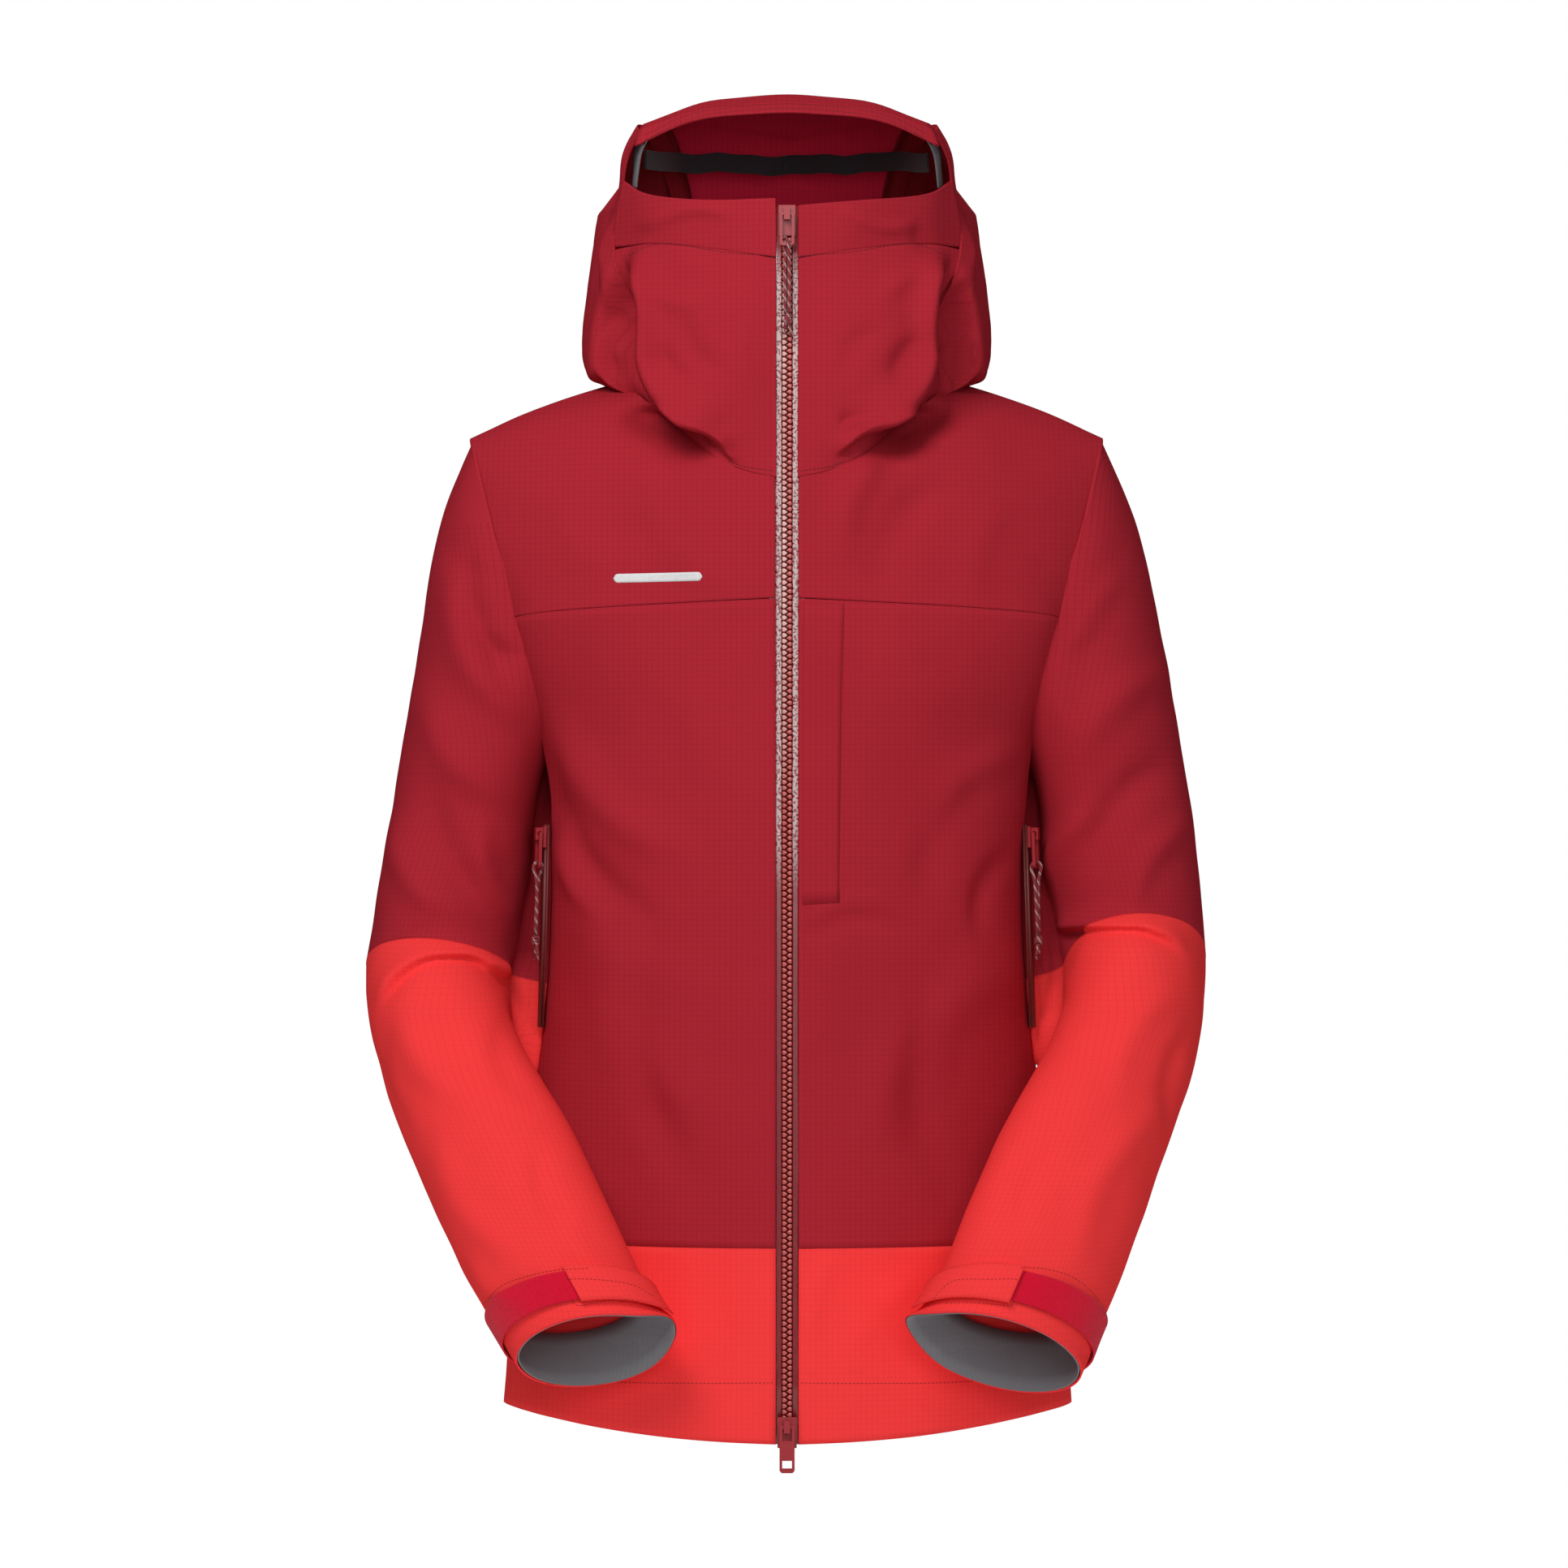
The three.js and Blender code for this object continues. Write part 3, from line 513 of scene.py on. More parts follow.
class ArmLine:
    """The sleeve's axis: the mean of the CAD sleeve's corners, height by height along the arm."""

    def __init__(self, side):
        parts = (f"upper_sleeve_{side}", f"forearm_{side}")
        corners = np.concatenate([places(NODES[part].data) for part in parts])
        self.heights = np.linspace(corners[:, 2].min() + 0.03, corners[:, 2].max() - 0.06, 16)
        levels = at_heights(corners, self.heights, 0.045)
        self.means = np.array([level.mean(axis=0) for level in levels])
        steps = np.linalg.norm(np.diff(self.means, axis=0), axis=1)
        self.lengths = np.append(0, np.cumsum(steps))

    def __call__(self, points):
        x, y = (np.interp(points[:, 2], self.heights, self.means[:, k]) for k in (0, 1))
        return np.stack([x, y, points[:, 2]], axis=1)

    def along(self, points):
        return np.interp(points[:, 2], self.heights, self.lengths)


SLEEVE_MIDDLES = {side: ArmLine(side) for side in ("left", "right")}


def armhole_line():
    """How far out the front reaches, by height: the armhole's front edge."""
    nodes = ("front_panel_right", "front_yoke_right")
    corners = np.concatenate([places(NODES[node].data) for node in nodes])
    top = corners[:, 2].max()
    heights = np.linspace(top - 0.32, top - 0.005, 24)
    return heights, np.array([level[:, 0].max() for level in at_heights(corners, heights, 0.02)])


ARMHOLE = armhole_line()
SLEEVE_FORWARD = 4 * MM


def near_armhole(points):
    """1 at the armhole's front edge, 0 further down or out on the sleeve."""
    beyond = np.abs(points[:, 0]) - np.interp(points[:, 2], *ARMHOLE)
    return (1 - smoothstep(beyond, 0.006, 0.034)) * smoothstep(points[:, 2] - HEM_Z, 0.40, 0.45)


def write_uv(mesh, across, along, turn_length=None):
    """A UV map in metres. Where it goes round a tube, faces over the join are unrolled."""
    corners = np.empty(len(mesh.loops), dtype=int)
    mesh.loops.foreach_get("vertex_index", corners)
    u, v = across[corners], along[corners]
    if turn_length is not None:
        ring = turn_length[corners]
        starts = np.empty(len(mesh.polygons), dtype=int)
        mesh.polygons.foreach_get("loop_start", starts)
        sizes = np.diff(np.append(starts, len(corners)))
        first = np.repeat(u[starts], sizes)
        u = u - np.round((u - first) / ring) * ring
    layer = mesh.uv_layers.new(name="weave")
    layer.data.foreach_set("uv", np.stack([u, v], axis=1).ravel())


def tube_uv(mesh, middle):
    """Round the arm and along it."""
    points = places(mesh)
    centre = middle(points)
    off = points - centre
    turn = np.arctan2(off[:, 0], -off[:, 1])
    radius = np.full(len(points), np.hypot(off[:, 0], off[:, 1]).mean())
    write_uv(mesh, turn * radius, middle.along(points), 2 * math.pi * radius)


HOOD_MIDDLE_Z = HEM_Z + 0.78
HOOD_RADIUS = 0.1


def panel_uv(node, mesh):
    """Across and up a panel; on the crown, over it from the brim to the nape."""
    x, y, z = places(mesh).T
    if "hood_side" in node or "side_panel" in node:
        write_uv(mesh, y, z)
    elif node in ("hood_centre_panel", "hood_lining", "hood_brim"):
        write_uv(mesh, x, np.arctan2(y - BODY_MIDDLE_Y, z - HOOD_MIDDLE_Z) * HOOD_RADIUS)
    else:
        write_uv(mesh, x, z)


# How far each panel's rims are pushed out to meet its neighbours, in mm.
WIDEN = {"hood_side": 3.2, "collar_panel": 1.7, "chin_guard": 1.6, "upper_sleeve": 3.0, "front_yoke": 0.55,
         "back_yoke": 0.55, "hood_brim": 0.8, "hood_centre_panel": 1.1, "side_panel": 0.9,
         "face_facing": 2.6}


def widen_of(node):
    return next((mm for name, mm in WIDEN.items() if node.startswith(name)), 0.25) * MM


SURFACES = {}


def cloth(node, material, folds=(), levels=3, seed=1.0, shaped=None, tucks=(), first=None,
          middle=body_middle):
    """A panel's skin: smoothed, moved by first, folded, moved by shaped, and in its CAD node's place."""
    mesh = smooth_copy(node, levels, widen_of(node))
    points = places(mesh)
    if first:
        points = first(points)
    away = outwards(points, middle)
    facing = smoothstep(-away[:, 1], -0.1, 0.5)
    lift = (fold_heights(points, folds) + tuck_heights(points, tucks)) * facing
    if isinstance(middle, ArmLine):
        lift *= 1 - near_armhole(points)
    lift += unevenness(points, 14, 1.4 * MM, seed) + unevenness(points, 38, 0.5 * MM, seed + 3)
    points = points + away * lift[:, None]
    if shaped:
        points = shaped(points)
    put_places(mesh, points)
    if isinstance(middle, ArmLine):
        tube_uv(mesh, middle)
    else:
        panel_uv(node, mesh)
    mesh.polygons.foreach_set("use_smooth", np.full(len(mesh.polygons), True))
    piece = object_of(f"{node}_cloth", mesh, [material])
    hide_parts(node)
    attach(piece, BODY_OF[node])
    SURFACES[node] = piece
    return piece


def hem_place(x, y, z):
    """A place in mm from the hem's middle line, as the frame has it."""
    return Vector((x, y + HEM_BACK, z + HEM_UP)) * MM


def catmull(points, steps):
    """A smooth curve through the points."""
    points = [Vector(p) for p in points]
    row = [2 * points[0] - points[1], *points, 2 * points[-1] - points[-2]]
    out = []
    for k in range(1, len(row) - 2):
        a, b, c, d = row[k - 1:k + 3]
        for n in range(steps):
            t = n / steps
            out.append(0.5 * (2 * b + (c - a) * t + (2 * a - 5 * b + 4 * c - d) * t**2
                              + (3 * b - a - 3 * c + d) * t**3))
    return out + [points[-1]]


def smooth_line(points, steps=12):
    return [(p.x, p.z) for p in catmull([(x, 0, z) for x, z in points], steps)]


def hem_curve(points, steps):
    return np.array([p[:] for p in catmull([hem_place(*p) for p in points], steps)])


# ---------- the cheek fold, where the collar rolls forward over the hood's side ----------
CHEEK_SEAM = [(30, -114.5, 638), (52, -106, 648), (70, -92, 664), (96, -80, 684), (106, -74, 706),
              (106, -70, 745), (119, -42, 788)]
SEAM_POINTS = hem_curve(CHEEK_SEAM, 10)
# The seam between the hood's side and its crown, from the brim's corner to the nape.
CROWN_SEAM = [(98, -84, 864), (94, -30, 878), (88, 35, 874), (76, 84, 838), (66, 112, 785), (56, 104, 735),
              (50, 84, 702)]
CROWN_POINTS = hem_curve(CROWN_SEAM, 6)
# Where along the cheek seam the fold begins, is deepest, eases and ends.
FOLD_START, FOLD_FULL, FOLD_LESS, FOLD_END = 0.12, 0.34, 0.84, 0.97
SEAM_SLACK = 6 * MM


def beside(points, line):
    """How far each point, mirrored to the right side, is from a line, and its share of the way along it."""
    mirrored = points.copy()
    mirrored[:, 0] = np.abs(mirrored[:, 0])
    apart = np.full(len(points), 1.0)
    share = np.zeros(len(points))
    for k in range(len(line) - 1):
        start, run = line[k], line[k + 1] - line[k]
        along = np.clip((mirrored - start) @ run / (run @ run), 0, 1)
        distance = np.linalg.norm(mirrored - start - along[:, None] * run, axis=1)
        nearer = distance < apart
        apart[nearer] = distance[nearer]
        share[nearer] = (k + along[nearer]) / (len(line) - 1)
    return apart, share


def from_seam(points):
    """How far each point is from the cheek seam, and how strongly the seam is folded there."""
    apart, share = beside(points, SEAM_POINTS)
    apart = np.maximum(apart - SEAM_SLACK, 0)
    strength = smoothstep(share, FOLD_START, FOLD_FULL) * (1 - smoothstep(share, FOLD_LESS, FOLD_END))
    return apart, share, strength


TUCK_BACK, TUCK_IN, ROLL_FORWARD, ROLL_DROOP = 26 * MM, 9 * MM, 12 * MM, 9 * MM


def rolled(points):
    """The collar's side of the fold: forward in a roll, then back and in to the seam."""
    apart, share, strength = from_seam(points)
    tuck = bell(apart, 8 * MM) * strength
    roll = bell(apart - 14 * MM, 12 * MM) * smoothstep(apart, 0, 8 * MM) * strength
    low = 1 - smoothstep(share, 0.3, 0.75)
    side = np.sign(points[:, 0])
    return shifted(points, side * (6 * MM * roll * (1 - 0.6 * low) - TUCK_IN * tuck * (1 - low)),
                   TUCK_BACK * tuck - ROLL_FORWARD * roll, 3 * MM * tuck * low - ROLL_DROOP * roll * low)


def tucked(points):
    """The yoke's side of the fold: it follows the seam back, under the roll."""
    apart, share, strength = from_seam(points)
    tuck = bell(apart, 11 * MM) * strength
    low = 1 - smoothstep(share, 0.3, 0.75)
    return shifted(points, y=TUCK_BACK * tuck, z=3 * MM * tuck * low)


# Half the hood's width behind its opening, by height, in mm.
HOOD_WIDTH = [(690, 155), (702, 147), (715, 141.5), (742, 139), (768, 136), (795, 131.5), (816, 129),
              (838, 112), (855, 102), (864, 99), (884, 95)]
# Inside this half width the hood isn't widened; it is widened fully behind the second depth.
HOOD_CORE = 0.088
FRONT_EDGE, BEHIND_EDGE = -0.142, -0.098
CROWN_FROM, CROWN_TO, CROWN_DROP = 0.858, 0.905, 11.6 * MM


def hood_width_now():
    """Half the width of the frame's hood side, by height."""
    corners = places(NODES["hood_side_right"].data)
    z = corners[:, 2] - HEM_Z
    heights = np.linspace(z.min() + 0.01, z.max() - 0.005, 24)
    widths = [corners[np.abs(z - h) < 0.016][:, 0].max() for h in heights]
    padded = np.pad(widths, 3, mode="reflect", reflect_type="odd")
    weights = np.array([1, 2, 3, 4, 3, 2, 1])
    return heights, np.convolve(padded, weights / weights.sum(), mode="valid")


HOOD_NOW = hood_width_now()


def crowned(points):
    """The crown is a little flatter than the frame's."""
    shoulders = bell(np.abs(points[:, 0]) - 0.06, 0.022)
    drop = CROWN_DROP - 2.2 * MM * shoulders
    return shifted(points, z=-drop * smoothstep(points[:, 2] - HEM_Z, CROWN_FROM, CROWN_TO))


def hooded(points):
    """The hood's side sinks behind the roll, and hangs nearly straight to a corner over the shoulder."""
    apart, share, strength = from_seam(points)
    tuck = bell(apart, 26 * MM) * strength
    seam = bell(apart, 9 * MM) * strength * smoothstep(share, 0.3, 0.75)
    x, z = np.abs(points[:, 0]), points[:, 2] - HEM_Z
    now = np.interp(z, *HOOD_NOW)
    wanted = np.interp(z * 1000, *np.array(HOOD_WIDTH).T) * MM
    outer = np.clip((x - HOOD_CORE) / np.maximum(now - HOOD_CORE, 1 * MM), 0, 1)
    outer *= smoothstep(points[:, 1], FRONT_EDGE, BEHIND_EDGE) * smoothstep(apart, 0, 22 * MM)
    outer *= smoothstep(beside(points, CROWN_POINTS)[0], 2 * MM, 13 * MM)
    droop = smoothstep(outer, 0.4, 1) * smoothstep(-z, -0.75, -0.70)
    side = np.sign(points[:, 0])
    return crowned(shifted(points, side * (outer * (wanted - now) - TUCK_IN * seam), TUCK_BACK * tuck,
                           -9 * MM * droop))


def faced(points):
    """The facing lies just inside the hood's side."""
    return shifted(hooded(points), x=-np.sign(points[:, 0]) * 6 * MM)


# ---------- the cloth ----------
PLACKET_SINK = 1.32 * MM


def sunk(points):
    """The placket lies almost level with the front."""
    return shifted(points, y=PLACKET_SINK)


ELBOW_RISE = {"left": 6 * MM, "right": 21 * MM}
ELBOW_HEIGHT, ELBOW_REACH = 0.316, 0.042


def from_sleeve_middle(points):
    side = "left" if points[:, 0].mean() < 0 else "right"
    return side, points - SLEEVE_MIDDLES[side](points)


def raised(points):
    """The seam at the elbow arches upwards in front."""
    side, off = from_sleeve_middle(points)
    front = smoothstep(-off[:, 1], -0.03, 0.035) * bell(off[:, 0], 0.075)
    near = bell(points[:, 2] - HEM_Z - ELBOW_HEIGHT, ELBOW_REACH)
    return shifted(points, z=ELBOW_RISE[side] * front * near)


FULL_BEHIND = 44 * MM
ARMHOLE_IN = 6 * MM
BEHIND_CORDS = -0.111


def full_behind(points):
    """Behind the body's side the sleeve swells in towards it."""
    side, off = from_sleeve_middle(points)
    sign = 1 if side == "right" else -1
    inner = smoothstep(-sign * off[:, 0], 0.0, 0.035)
    rear = smoothstep(off[:, 1], 0.0, 0.04) * smoothstep(points[:, 1], BEHIND_CORDS, BEHIND_CORDS + 0.012)
    height = points[:, 2] - HEM_Z
    zone = smoothstep(height, 0.17, 0.24) * (1 - smoothstep(height, 0.42, 0.47))
    armhole = smoothstep(height, 0.44, 0.50) * (1 - smoothstep(height, 0.53, 0.60))
    inwards = FULL_BEHIND * inner * rear * zone
    inwards += ARMHOLE_IN * armhole * smoothstep(-sign * off[:, 0], -0.02, 0.04)
    forward = SLEEVE_FORWARD * near_armhole(points) * smoothstep(-off[:, 1], 0.0, 0.03)
    return gaped(shifted(points, -sign * inwards, -forward))


def gaped(points):
    """The cuff's inner corner is drawn to a point under the tab."""
    x, z = np.abs(points[:, 0]), points[:, 2] - HEM_Z
    near = bell(np.hypot(x - 0.084, z - 0.074), 0.013)
    return shifted(points, x=-np.sign(points[:, 0]) * 6 * MM * near, z=9 * MM * near)


def kept_in(points):
    """The pocket bags hang clear behind the front's folds."""
    return shifted(points, y=10 * MM)


HOOD_FOLDS = [
    (-128, 745, -112, 700, 7, -4.0), (-120, 772, -104, 738, 6, 3.5), (-112, 728, -104, 692, 5, 4.0),
    (-104, 812, -92, 790, 8, -3.0), (128, 740, 112, 700, 7, -4.0), (118, 770, 104, 742, 6, 3.5),
    (112, 730, 106, 694, 5, 4.0),
]


def waved(points):
    """The elastic gathers the hood, so its edges run in shallow waves."""
    x = points[:, 0]
    wave = (0.7 * np.sin(x * 118) + 0.4 * np.sin(x * 251 + 1)) * MM
    return shifted(points, y=1.2 * MM * np.sin(x * 163), z=wave)


def cloth_pieces():
    for side, seed in (("left", 1.0), ("right", 5.0)):
        for node in (f"front_panel_{side}", f"side_panel_{side}"):
            cloth(node, dark_cloth, FRONT_FOLDS, seed=seed)
        cloth(f"front_yoke_{side}", dark_cloth, FRONT_FOLDS, 4, seed, tucked)
        cloth(f"hem_band_{side}", bright_cloth, FRONT_FOLDS, seed=seed)
        cloth(f"collar_panel_{side}", dark_cloth, COLLAR_FOLDS, 4, seed, rolled, NECK_TUCKS)
        cloth(f"chin_guard_{side}", dark_cloth, COLLAR_FOLDS, 4, seed, rolled)
        cloth(f"hood_side_{side}", dark_cloth, HOOD_FOLDS, 4, seed, hooded)
        sleeve = {"folds": SLEEVE_FOLDS[side], "seed": seed, "middle": SLEEVE_MIDDLES[side]}
        arm = {"levels": 4, "shaped": full_behind, "tucks": ELBOW_TUCKS[side], "first": raised}
        cloth(f"upper_sleeve_{side}", dark_cloth, **arm, **sleeve)
        cloth(f"forearm_{side}", bright_cloth, **arm, **sleeve)
        cloth(f"cuff_lining_{side}", grey_cloth, levels=2, shaped=gaped, **sleeve)
        cloth(f"cuff_loop_strip_{side}", pile, levels=4, **sleeve)
        cloth(f"cuff_tab_{side}", bright_cloth, shaped=gaped, **sleeve)
        cloth(f"face_facing_{side}", grey_cloth, seed=seed, shaped=faced)
    for node in ("back_panel", "back_yoke", "storm_flap"):
        cloth(node, dark_cloth, levels=2)
    for node in ("hood_centre_panel", "hood_brim"):
        cloth(node, dark_cloth, levels=2, shaped=crowned)
    cloth("hem_band_back", bright_cloth, levels=2)
    cloth("hood_lining", painted_lit_inner_cloth, levels=2, shaped=crowned)
    cloth("hood_elastic_band", elastic, levels=4, shaped=waved)
    cloth("chest_pocket_placket", dark_cloth, FRONT_FOLDS, 2, 5.0, sunk)
    for node in ("hand_pocket_bag_left", "hand_pocket_bag_right", "chest_pocket_bag"):
        cloth(node, grey_cloth, FRONT_FOLDS, 3, shaped=kept_in)
    cloth("hang_loop", dark_cloth, levels=1)


cloth_pieces()


# ---------- meshes made point by point ----------
def mesh_object(name, vertices, faces, material, body, uvs=None):
    mesh = bpy.data.meshes.new(name)
    mesh.from_pydata([tuple(v) for v in vertices], [], faces)
    mesh.validate()
    if uvs is not None:
        layer = mesh.uv_layers.new(name="weave")
        for loop in mesh.loops:
            layer.data[loop.index].uv = uvs[loop.vertex_index]
    mesh.polygons.foreach_set("use_smooth", np.full(len(mesh.polygons), True))
    piece = object_of(name, mesh, [material])
    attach(piece, body)
    return piece


def ring_faces(base, count, rings, flip=False):
    """The faces between rings of vertices numbered from base, and the two ends."""
    faces = []
    for start in range(base, base + (rings - 1) * count, count):
        for n in range(count):
            a, b = start + n, start + (n + 1) % count
            faces.append((a, b, b + count, a + count))
    last = base + (rings - 1) * count
    faces += [tuple(reversed(range(base, base + count))), tuple(range(last, last + count))]
    return [face[::-1] for face in faces] if flip else faces


def tube(route, radius, sides=10, taper=None):
    """Vertices, faces and UVs of a tube with closed ends along a route."""
    vertices, uvs = [], []
    along = 0
    side = None
    for k, point in enumerate(route):
        run = (route[min(k + 1, len(route) - 1)] - route[max(k - 1, 0)]).normalized()
        if side is None:
            side = run.orthogonal().normalized()
        side = (side - run * side.dot(run)).normalized()
        other = run.cross(side)
        along += (point - route[k - 1]).length if k else 0
        r = radius * (taper(k / (len(route) - 1)) if taper else 1)
        for n in range(sides):
            turn = 2 * math.pi * n / sides
            vertices.append(point + (side * math.cos(turn) + other * math.sin(turn)) * r)
            uvs.append((turn * radius, along))
    return vertices, ring_faces(0, sides, len(route)), uvs


def joined_parts(parts):
    vertices, faces, uvs = [], [], []
    for more_vertices, more_faces, more_uvs in parts:
        base = len(vertices)
        vertices += more_vertices
        uvs += more_uvs
        faces += [tuple(base + n for n in face) for face in more_faces]
    return vertices, faces, uvs


# ---------- places on the moving hardware ----------
def pull_frame(slide, hinge):
    """A pull's own axes: across, inwards and up, from its joints. Its slider slides downwards."""
    up = -Vector(JOINTS[slide]["axis"]).normalized()
    across = -Vector(JOINTS[hinge]["axis"]).normalized()
    inwards = up.cross(across)
    place = Matrix((across, inwards, up)).transposed().to_4x4()
    place.translation = Vector(JOINTS[hinge]["pos_m"])
    return place


PULLS = {
    "top": pull_frame("top_slider_slide", "top_pull_hinge"),
    "pocket_left": pull_frame("pocket_left_slide", "pocket_left_pull_hinge"),
    "pocket_right": pull_frame("pocket_right_slide", "pocket_right_pull_hinge"),
}
# How far below its hinge each pull's bar is, in mm.
PULL_BAR = {"top": -20, "pocket_left": -22, "pocket_right": -22}
CORD_RADIUS, CORD_DROP = 1.1, 46


def doubled_route(bar, drop, radius):
    """From the knot up over the pull's bar and back down, in mm."""
    away = radius + 2.05
    half = radius + 0.2
    return [(-half, 0, bar - drop), (-half, 0.8, bar - 12), (-0.8, away, bar - 1.5),
            (-0.5, 0.8 * away, bar + 1.7), (0, 0, bar + away), (0.5, -0.8 * away, bar + 1.7),
            (0.8, -away, bar - 1.5), (half, -0.8, bar - 12), (half, 0, bar - drop)]


def knot_parts(place, top, radius):
    """An overhand knot: the two cords wrapped round themselves, with two frayed tails."""
    middle = top - 3.4
    wraps = []
    for lean, high, start in ((0.5, 1.3, 0.3), (-0.45, -1.2, 2.2), (0.1, 0.1, 4.0)):
        ring = []
        for n in range(29):
            turn = start + 2 * math.pi * n / 26
            ring.append(place @ (Vector((1.75 * math.cos(turn), 1.5 * math.sin(turn),
                                         middle + high + lean * 2.2 * math.cos(turn))) * MM))
        wraps.append(tube(ring, radius * MM, 10))
    core = [place @ (Vector((0.1 * k, 0, top + 0.6 - k * 0.9)) * MM) for k in range(8)]
    wraps.append(tube(core, 1.5 * MM, 12, lambda t: 0.75 + math.sin(t * math.pi) * 0.5))
    for x, lean in ((-1.0, -0.5), (1.1, 0.7)):
        tail = [Vector((x + lean * k * 0.5, 0.2 * k, middle - 2 - 1.5 * k)) for k in range(6)]
        tail = [place @ (spot * MM) for spot in tail]
        wraps.append(tube(tail, radius * MM * 0.9, 8, lambda t: 1.0 - 0.15 * t))
        for n in range(7):
            spread = Vector((math.cos(n * 2.1), math.sin(n * 2.1), 0)) * 0.55
            hang = [spread * (0.4 + k * 0.5) + Vector((lean * k * 0.4, 0, -1.1 * k)) for k in range(4)]
            wisp = [tail[-1] + (place.to_3x3() @ off) * MM for off in hang]
            wraps.append(tube(wisp, 0.16 * MM, 4))
    return joined_parts(wraps)


def corded_pulls():
    """Each cord and its knot ride on their pull."""
    for name, place in PULLS.items():
        bar = PULL_BAR[name]
        body = BODY_OF[f"{name}_pull"]
        bend = [place @ (Vector(p) * MM) for p in doubled_route(bar, CORD_DROP, CORD_RADIUS)]
        route = catmull(bend, 5)
        vertices, faces, uvs = tube(route, CORD_RADIUS * MM, 12)
        cord = mesh_object(f"{name}_cord", vertices, faces, fleck_cord, body, uvs=uvs)
        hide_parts(f"{name}_pull_cord")
        vertices, faces, uvs = knot_parts(place, bar - CORD_DROP - 0.3, CORD_RADIUS)
        knot = mesh_object(f"{name}_knot", vertices, faces, fleck_cord, body, uvs=uvs)
        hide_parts(f"{name}_pull_knot")


corded_pulls()


# ---------- zips ----------
# In mm. The photograph's teeth are 3.8 to 4.0 mm apart.
TEETH_IN_50 = 13
TOOTH_PITCH = 50 / TEETH_IN_50
CHAIN_FRONT, CHAIN_BACK = 1.3, 4.2
CHAIN_START, CHAIN_END = 1.6, 808
ZIP_UP = -Vector(JOINTS["top_slider_slide"]["axis"]).normalized()
ZIP_IN = ZIP_UP.cross(Vector((1, 0, 0)))
ZIP_FOOT = Vector((0, CHAIN_LOW.y - 1.8 * MM, HEM_Z))
TOOTH = [(3.15, -1.35), (2.5, -1.62), (1.7, -1.6), (0.9, -1.2), (0.25, -0.62), (-0.35, -0.12),
         (-0.35, 0.12), (0.25, 0.62), (0.9, 1.2), (1.7, 1.6), (2.5, 1.62), (3.15, 1.35), (3.3, 0.0)]
# Each ring's size and its depth behind the cloth's face, from the back to the rounded front.
TOOTH_RINGS = [(0.97, CHAIN_BACK), (0.97, CHAIN_FRONT + 0.7), (0.86, CHAIN_FRONT + 0.2), (0.6, CHAIN_FRONT)]


def on_zip(x, depth, z):
    """A place by the main zip, in mm: across, inwards from the cloth's face, and up from the hem."""
    return ZIP_FOOT + (Vector((x, 0, 0)) + ZIP_IN * depth + ZIP_UP * z) * MM


def teeth(side, sign):
    """Moulded teeth, each a rounded head on a neck; the right row sits half a pitch higher."""
    vertices, faces = [], []
    middle = 1.8
    start = CHAIN_START + (TOOTH_PITCH / 2 if sign > 0 else 0)
    for k in range(int((CHAIN_END - start) / TOOTH_PITCH)):
        z = start + k * TOOTH_PITCH
        base = len(vertices)
        for scale, depth in TOOTH_RINGS:
            for x, dz in TOOTH:
                vertices.append(on_zip(sign * (middle + (x - middle) * scale), depth, z + dz * scale))
        faces += ring_faces(base, len(TOOTH), len(TOOTH_RINGS), flip=sign > 0)
    piece = mesh_object(f"zip_teeth_{side}", vertices, faces, teeth_plastic, "jacket")
    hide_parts(f"zip_chain_{side}")


def tape_forward(points):
    """The tape lies against the backs of the teeth, close behind the cloth's edge."""
    beside_teeth = 1 - smoothstep(np.abs(points[:, 0]), 7 * MM, 9 * MM)
    return shifted(points, y=-1.3 * MM * beside_teeth)


def main_zip():
    for side, sign in (("left", -1), ("right", 1)):
        teeth(side, sign)
        cloth(f"zip_tape_{side}", tape, levels=4, shaped=tape_forward)


main_zip()


for node in BODY_OF:
    if "slider" in node or node.endswith("_pull"):
        for slot in NODES[node].material_slots:
            slot.material = painted
for side in ("left", "right"):
    cloth(f"pocket_zip_{side}", coil, levels=1)

# ---------- seams, stitching and prints ----------


def ribbon(name, rows, thick, material, body):
    """A closed strip through rows of points, each row across the strip; thick is a vector."""
    wide = len(rows[0])
    vertices = [p for row in rows for p in row] + [p + thick for row in rows for p in row]
    back = len(rows) * wide
    faces = []
    for k in range(len(rows) - 1):
        for n in range(wide - 1):
            a = k * wide + n
            face = (a, a + 1, a + 1 + wide, a + wide)
            faces += [face, tuple(back + v for v in reversed(face))]
    for k in range(len(rows) - 1):
        for n in (0, wide - 1):
            a = k * wide + n
            face = (a, a + wide, back + a + wide, back + a)
            faces.append(face if n == 0 else face[::-1])
    for k in (0, len(rows) - 1):
        for n in range(wide - 1):
            a = k * wide + n
            face = (a, back + a, back + a + 1, a + 1)
            faces.append(face if k == 0 else face[::-1])
    vertices = [Vector(v) for v in vertices]
    flat = [(v.x, v.z) for v in vertices]
    return mesh_object(name, vertices, faces, material, body, uvs=flat)


